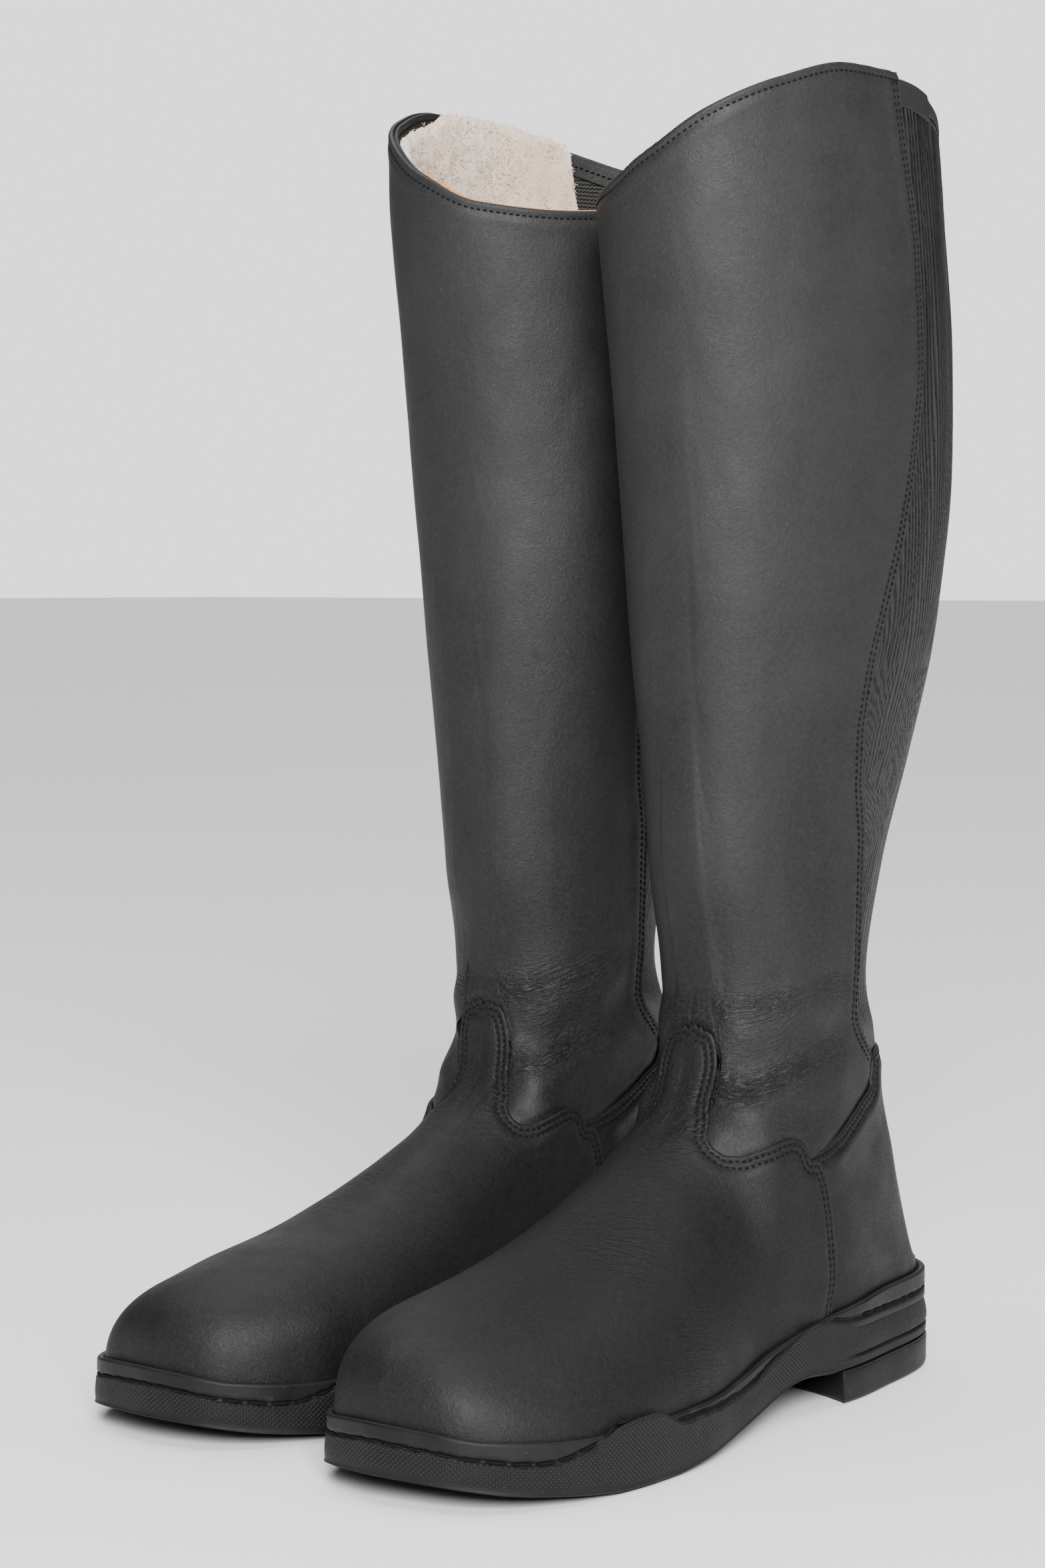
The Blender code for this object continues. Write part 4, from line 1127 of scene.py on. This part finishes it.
def add_counter(boot):
    """The leather round the heel: over the shaft at its top edge, under the vamp at its sides."""
    places = np.linspace(-1, 1, 190)
    panel = Panel(places, lambda c, z: c * (quarter_edge(z) + 0.016), lasting_edge, counter_edge, 0.0014,
                  (False, True))
    s = np.linspace(-0.2807, 0.2807, 900)
    edge = line_on(s, counter_edge(s))
    distance = panel.distance(edge)
    side = np.abs(panel.share)
    outer = 0.0010 * (1 - smooth((distance - 0.006) / 0.014))
    outer = outer * smooth((panel.z - 0.040) / 0.020) * (1 - smooth((side - 0.86) / 0.08) * 0.7)
    outer = outer - 0.0007 * smooth((side - 0.84) / 0.10) + 0.0001
    outer = outer - edge_fall(distance) + sewn(distance)
    outer = outer + 0.0004 * lumps(panel, 0.030, boot.seed + 160)
    outer = outer + 0.0012 * band(panel.z, 0.0385, 0.0016) * smooth((0.35 - side) / 0.1)
    boot.shell("heel_counter", panel, outer, outer - LEATHER, COUNTER, "counter_leather", ("heel_counter",))
    stitch_rows(boot, "counter_stitches", [edge], panel, outer)


# ---------------------------------------------------------------- the sole


def smoothed_ring(points, times):
    for _ in range(times):
        points = points + 0.5 * ((np.roll(points, 1, 0) + np.roll(points, -1, 0)) / 2 - points)
    return points


class Outline:
    """The sole's outline as a closed ring of points, from the heel round by the outer side."""

    COUNT = 1100

    def __init__(self):
        first, last = FOOTPRINT[0][0], FOOTPRINT[-1][0]
        along = first + (last - first) * (1 - np.cos(np.linspace(0, np.pi, 600))) / 2
        outer = np.stack([curve(FOOTPRINT, 1, along), along], -1)
        inner = np.stack([curve(FOOTPRINT, 2, along), along], -1)
        ring = np.concatenate([outer, inner[-2:0:-1]])
        ring = np.concatenate([ring, ring[:1]])
        length = run_along(ring)
        even = np.linspace(0, length[-1], self.COUNT, endpoint=False)
        self.ring = smoothed_ring(points_at(even, length, ring), 60)
        way = np.roll(self.ring, -1, 0) - np.roll(self.ring, 1, 0)
        way /= np.linalg.norm(way, axis=1, keepdims=True)
        self.out = smoothed_ring(np.stack([way[:, 1], -way[:, 0]], -1), 40)
        self.run = even

    def grown(self, width):
        """Across and along for each point of the ring, moved out by a width."""
        width = np.broadcast_to(np.asarray(width, float), (self.COUNT,))
        ring = self.ring + self.out * width[:, None]
        return ring[:, 0], ring[:, 1]


OUTLINE = Outline()


def swept(boot, name, rings, material, slot, nodes, mask=None):
    """A solid swept round the boot through rings that go once round its section."""
    points = np.concatenate(rings)
    count = OUTLINE.COUNT
    faces = quads(len(rings) + 1, count, True) % len(points)
    run = np.broadcast_to(OUTLINE.run, (len(rings), count))
    rise = run_along(np.stack(rings))
    mask = np.zeros((len(rings), count)) if mask is None else mask
    along = np.stack([run, rise, mask], -1).reshape(-1, 3)
    forward = -points[:, 1]
    crossed = 1 - smooth((forward - 0.078) / 0.020) * smooth((0.172 - forward) / 0.020)
    return boot.piece(name, points, faces, material, slot, nodes, "foot", along=along, crossed=crossed)


def torn(along, seed, size):
    """The uneven edge that a mould leaves, as a height."""
    coarse = noise(along / 0.0030, seed + along * 0, seed)
    return size * (coarse + 0.7 * noise(along / 0.0009, seed + along * 0, seed))


def foxing_top(along):
    return curve(FOXING_TOP, 1, along)


def sole_bottom(along):
    return curve(SOLE_BOTTOM, 1, along)


def add_outsole(boot):
    """Foxing wall with a diamond mesh in relief, a smooth lip at its foot, and a ribbed tread."""
    rows = 56
    seed = boot.seed + 200
    rings, mask = [], []
    _, along = OUTLINE.grown(SOLE_OVERHANG)
    bottom, top = sole_bottom(along), foxing_top(along)
    heel = smooth((0.100 - along) / 0.030)
    clear = smooth((curve(WELT_TOP, 1, along) - top - 0.001) / 0.002)
    ragged = torn(OUTLINE.run, seed, 0.00030) * (0.25 + 0.75 * clear)
    for share in np.linspace(0, 1, rows):
        z = bottom + (top - bottom) * share
        lip = band(z, bottom, 0.0011) * (1 - heel)
        groove = band(z, 0.0162, 0.00050) * heel
        waist = band(share, 0.45, 0.4)
        width = SOLE_OVERHANG - 0.0006 + 0.0006 * lip - 0.0014 * groove + 0.0005 * waist
        width = width - 0.0016 * heel * smooth((z - 0.018) / 0.012)
        width = width - 0.0009 * smooth((share - 0.93) / 0.07) - 0.0016 * (1 - smooth(share / 0.06))
        width = width + 0.00012 * noise(OUTLINE.run / 0.02, z / 0.006, seed + 1)
        across, forward = OUTLINE.grown(width)
        z = z + ragged * smooth((share - 0.8) / 0.2)
        rings.append(raised(across, forward, z))
        on = smooth((z - bottom - 0.0026) / 0.0006) * smooth((top - z) / 0.0010)
        on = on * (1 - heel * smooth((0.0178 - z) / 0.0006))
        mask.append(on)
    for width, drop in ((SOLE_OVERHANG - 0.0016, 0.0), (SOLE_OVERHANG - 0.0018, 0.0030), (-0.0060, 0.0045)):
        across, forward = OUTLINE.grown(width)
        z = np.maximum(top - drop, bottom + 0.0020) + ragged * (drop == 0.0)
        rings.append(raised(across, forward, z))
        mask.append(np.zeros(OUTLINE.COUNT))
    inside = OUTLINE.grown(-0.0060)
    rings.append(raised(*inside, bottom + 0.0012))
    mask.append(np.zeros(OUTLINE.COUNT))
    swept(boot, "foxing", rings, SOLE, "sole_rubber", ("outsole",), np.stack(mask))
    add_tread(boot)


def plate_grid(width, rows, columns, start, end):
    """A grid under the foot: columns from heel to toe, rows from the inner to the outer side."""
    across, along = OUTLINE.grown(width)
    start, end = max(start, along.min()), min(end, along.max())
    half = OUTLINE.COUNT // 2
    outer_run, inner_run = along[:half], along[half:][::-1]
    place = start + (end - start) * (1 - np.cos(np.linspace(0, np.pi, columns))) / 2
    outer = np.interp(place, outer_run, across[:half])
    inner = np.interp(place, inner_run, across[half:][::-1])
    share = np.linspace(0, 1, rows)[:, None]
    return inner + (outer - inner) * share, np.broadcast_to(place, (rows, columns))


def add_plate(boot, name, x, along, low, high, material, slot, body="foot", nodes=()):
    """A plate between two height fields over a grid."""
    rows, columns = x.shape
    count = rows * columns
    points = np.concatenate([raised(x, along, z).reshape(-1, 3) for z in (high, low)])
    faces = [quads(rows, columns, False, 0, True), quads(rows, columns, False, count)]
    index = np.arange(count).reshape(rows, columns)
    faces += rims([(index[0], True), (index[-1], False), (index[:, 0], False), (index[:, -1], True)], count)
    flat = np.zeros((2 * count, 3))
    flat[:, 0] = np.tile(x.ravel(), 2)
    flat[:, 1] = np.tile(along.ravel(), 2)
    return boot.piece(name, points, np.concatenate(faces), material, slot, nodes, body, along=flat)


def channels(x, along):
    """1 in the channels between the tread's chevron bars, 0 on the bars."""
    wave = np.abs(((along + CHEVRON * np.abs(x)) / TREAD_PITCH) % 1.0 - 0.5) * 2
    return smooth((wave - 0.45) / 0.22)


def add_tread(boot):
    """The underside of the sole: chevron bars with channels between them, and a plain rim."""
    x, along = plate_grid(SOLE_OVERHANG - 0.0012, 90, 620, -1.0, 1.0)
    bottom = sole_bottom(along)
    share = np.linspace(-1, 1, 90)[:, None]
    inside = smooth((0.90 - np.abs(share)) / 0.04) * smooth((along - 0.090) / 0.004)
    inside = inside * smooth((0.291 - along) / 0.004)
    depth = 0.0016 * channels(x, along) * inside
    flat = smooth((along - 0.118) / 0.01)
    add_plate(boot, "tread", x, along, bottom + 0.0002 + depth * flat, bottom + 0.0030, HEEL, "sole_rubber")


def add_heel(boot):
    """The heel block: upright walls, a rounded lower edge, a lift line and a hollow front face."""
    rows = 34
    x, along = plate_grid(SOLE_OVERHANG, rows, 150, -1.0, HEEL_BREAST)
    half = np.abs(x[-1, -1] - x[0, -1]) / 2
    middle = (x[-1, -1] + x[0, -1]) / 2
    hollow = BREAST_HOLLOW * np.clip(1 - ((x - middle) / half) ** 2, 0, 1)
    along = along - hollow * smooth((along - 0.050) / (HEEL_BREAST - 0.050))
    centre = np.array([middle, 0.038])
    levels = ((0.0000, 0.962), (0.0003, 0.978), (0.0009, 0.990), (0.0016, 0.993), (0.0060, 0.994),
              (0.0105, 0.996), (0.0109, 0.990), (0.0112, 0.985), (HEEL_TOP, 0.985))
    index = np.arange(x.size).reshape(x.shape)
    border = np.concatenate([index[0, :-1], index[:-1, -1], index[-1, :0:-1], index[:0:-1, 0]])
    flat = np.stack([x.ravel(), along.ravel()], -1)
    points, faces = [], []
    for z, scale in levels:
        moved = centre + (flat[border] - centre) * scale
        points.append(raised(*moved.T, z))
    count = len(border)
    faces.append(quads(len(levels), count, True, 0, True))
    start = count * len(levels)
    for (z, scale), side in ((levels[0], True), (levels[-1], False)):
        moved = centre + (flat - centre) * scale
        height = np.full(len(moved), z)
        if side:
            inside = np.ones(x.shape)
            inside[:3] = inside[-3:] = 0
            inside[:, :8] = inside[:, -4:] = 0
            height = height + 0.0014 * channels(*moved.T) * inside.ravel()
        points.append(raised(*moved.T, height))
        faces.append(quads(*x.shape, False, start, True))
        start += len(moved)
    boot.piece("heel_block", np.concatenate(points), np.concatenate(faces), HEEL, "sole_rubber",
               ("heel_block",), "foot")


def add_welt(boot):
    """The smooth strip round the upper's foot, with a slit and dashes where it meets the foxing."""
    seed = boot.seed + 240
    _, along = OUTLINE.grown(0.002)
    top = curve(WELT_TOP, 1, along)
    wall = foxing_top(along)
    low = np.minimum(wall, top) - 0.0030
    clear = smooth((top - wall - 0.001) / 0.002)
    wide = 0.0024 + 0.0006 * smooth((along - 0.24) / 0.03) + 0.0006 * smooth((0.09 - along) / 0.02)
    section = []
    for turn in np.linspace(0, np.pi, 12):
        width = wide * 0.62 - 0.0002 + 0.42 * wide * np.cos(turn)
        section.append((width, top - 0.0011 + 0.0011 * np.sin(turn)))
    outer_wall = []
    for share in np.linspace(0, 1, 14):
        height = low + (top - 0.0012 - low) * share
        groove = clear * band(height - wall, 0.0006, 0.0008) * 1.6
        flash = clear * torn(OUTLINE.run, seed, 0.00022) * band(height - wall, 0.0014, 0.0010)
        outer_wall.append((wide * 1.04 - 0.0002 - 0.0008 * groove + flash, height))
    inner_wall = [(wide * 0.20 - 0.0006, top - 0.0012), (wide * 0.20 - 0.0006, low)]
    rings = []
    for width, height in outer_wall + section + inner_wall:
        rings.append(raised(*OUTLINE.grown(width), height))
    swept(boot, "welt_strip", rings, WELT, "welt_rubber", ("welt_strip",))
    add_welt_dashes(boot, wide, wall)


def add_welt_dashes(boot, wide, wall):
    """Short dark threads in the slit over the toe and round the heel."""
    _, along = OUTLINE.grown(0.002)
    line = raised(*OUTLINE.grown(wide * 1.04 - 0.0006), wall + 0.0007)
    chosen = (along > 0.236) | (along < 0.078)
    pitch = max(int(0.0086 / (OUTLINE.run[1] - OUTLINE.run[0])), 2)
    picked = np.nonzero(chosen)[0][::pitch]
    picked = picked[(picked > 2) & (picked < OUTLINE.COUNT - 3)]
    ways = line[picked + 2] - line[picked - 2]
    ways /= np.linalg.norm(ways, axis=1, keepdims=True)
    out = np.concatenate([OUTLINE.out[picked], np.zeros((len(picked), 1))], 1) * np.array([1, -1, 1])
    points, faces = threads(line[picked], ways, out, 0.0070, 0.00050)
    boot.piece("welt_threads", points, faces, THREAD, "welt_rubber", body="foot")


def floor_height(along):
    """The height of the sole's floor inside its rim."""
    return curve(WELT_TOP, 1, along) - FLOOR_DROP


def add_footbed(boot):
    """The fleece-topped footbed, crowned and soft at its edges."""
    x, along = plate_grid(-0.0134, 60, 170, 0.0130, 0.2830)
    share = np.abs(np.linspace(-1, 1, 60))[:, None]
    ends = smooth((along - 0.010) / 0.012) * smooth((0.283 - along) / 0.012)
    crown = (1 - share ** 6) * ends
    fluff = 0.0006 * noise(x / 0.005, along / 0.005, boot.seed + 300)
    fluff = fluff + 0.0003 * noise(x / 0.002, along / 0.002, 301)
    high = floor_height(along) + 0.0060 + 0.0040 * crown + fluff
    bed = add_plate(boot, "footbed", x, along, floor_height(along) + 0.0042, high, FLEECE, "fleece",
                    nodes=("footbed",))


# ---------------------------------------------------------------- assembly


def add_boot(boot):
    for add in (add_shaft, add_gusset, add_band, add_facing, add_raw_edge, add_elastic, add_fleece,
                add_vamp, add_counter, add_outsole, add_heel, add_welt, add_footbed):
        add(boot)
    for node in ("forepart_filler", "insole_board", "toe_puff", "heel_stiffener"):
        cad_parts[f"{boot.name}_{node}"].data.materials[0] = BOARD
    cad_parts[f"{boot.name}_shank"].data.materials[0] = STEEL


def add_floor():
    mesh = bpy.data.meshes.new("floor")
    corners = [(-40, -40, -0.0004), (40, -40, -0.0004), (40, 40, -0.0004), (-40, 40, -0.0004)]
    mesh.from_pydata(corners, [], [(0, 1, 2, 3)])
    look = Look("pale_floor", Roughness=0.9, Specular_IOR_Level=0.1)
    where = look.node("TexCoord").outputs["Object"]
    cloud = look.noise(where, 2.0)
    mesh.materials.append(look.done(look.mix(cloud, (0.86, 0.86, 0.86), (0.90, 0.90, 0.90)),
                                    look.ramp(cloud, 0, 1, 0.85, 0.95)))
    floor = add_object("floor", mesh)


def add_light(name, place, target, size, power):
    data = bpy.data.lights.new(name, "AREA")
    data.shape = "RECTANGLE"
    data.size, data.size_y = size
    data.energy = power
    made = add_object(name, data)
    made.location = place
    made.rotation_euler = (Vector(target) - Vector(place)).to_track_quat("-Z", "Y").to_euler()


def add_studio():
    add_floor()
    world = bpy.data.worlds.new("studio")
    world.use_nodes = True
    nodes, links = world.node_tree.nodes, world.node_tree.links
    aim = nodes.new("ShaderNodeVectorMath")
    aim.operation = "DOT_PRODUCT"
    aim.inputs[1].default_value = (-0.64, 0.77, 0.0)
    links.new(nodes.new("ShaderNodeTexCoord").outputs["Generated"], aim.inputs[0])
    reach = nodes.new("ShaderNodeMapRange")
    for key, value in (("From Min", 0.92), ("From Max", 0.97), ("To Min", 0.09), ("To Max", 1.80)):
        reach.inputs[key].default_value = value
    links.new(aim.outputs["Value"], reach.inputs["Value"])
    links.new(reach.outputs["Result"], nodes["Background"].inputs["Strength"])
    nodes["Background"].inputs["Color"].default_value = (1.0, 1.0, 1.0, 1.0)
    bpy.context.scene.world = world
    add_light("key", (1.72, -1.76, 1.35), (0, 0, 0.24), (1.1, 1.2), 176)
    add_light("fill", (2.2, 0.0, 0.8), (0, 0, 0.25), (0.8, 1.3), 4)
    sky = bpy.data.lights.new("overhead", "SUN")
    sky.energy = 3.2
    sky.angle = 1.2
    add_object("overhead", sky).rotation_euler = (math.radians(-14), math.radians(-10), 0)


def add_camera():
    data = bpy.data.cameras.new("camera")
    data.sensor_width = 36.0
    data.lens = 82.3
    camera = add_object("camera", data)
    camera.location = (0.8202, -0.9934, 0.2947)
    camera.rotation_euler = (math.radians(90 - 3.28), 0, math.radians(39.95))
    bpy.context.scene.camera = camera


add_studio()
add_camera()
add_boot(Boot("left", 1, LEFT_Y))
add_boot(Boot("right", -1, RIGHT_Y))
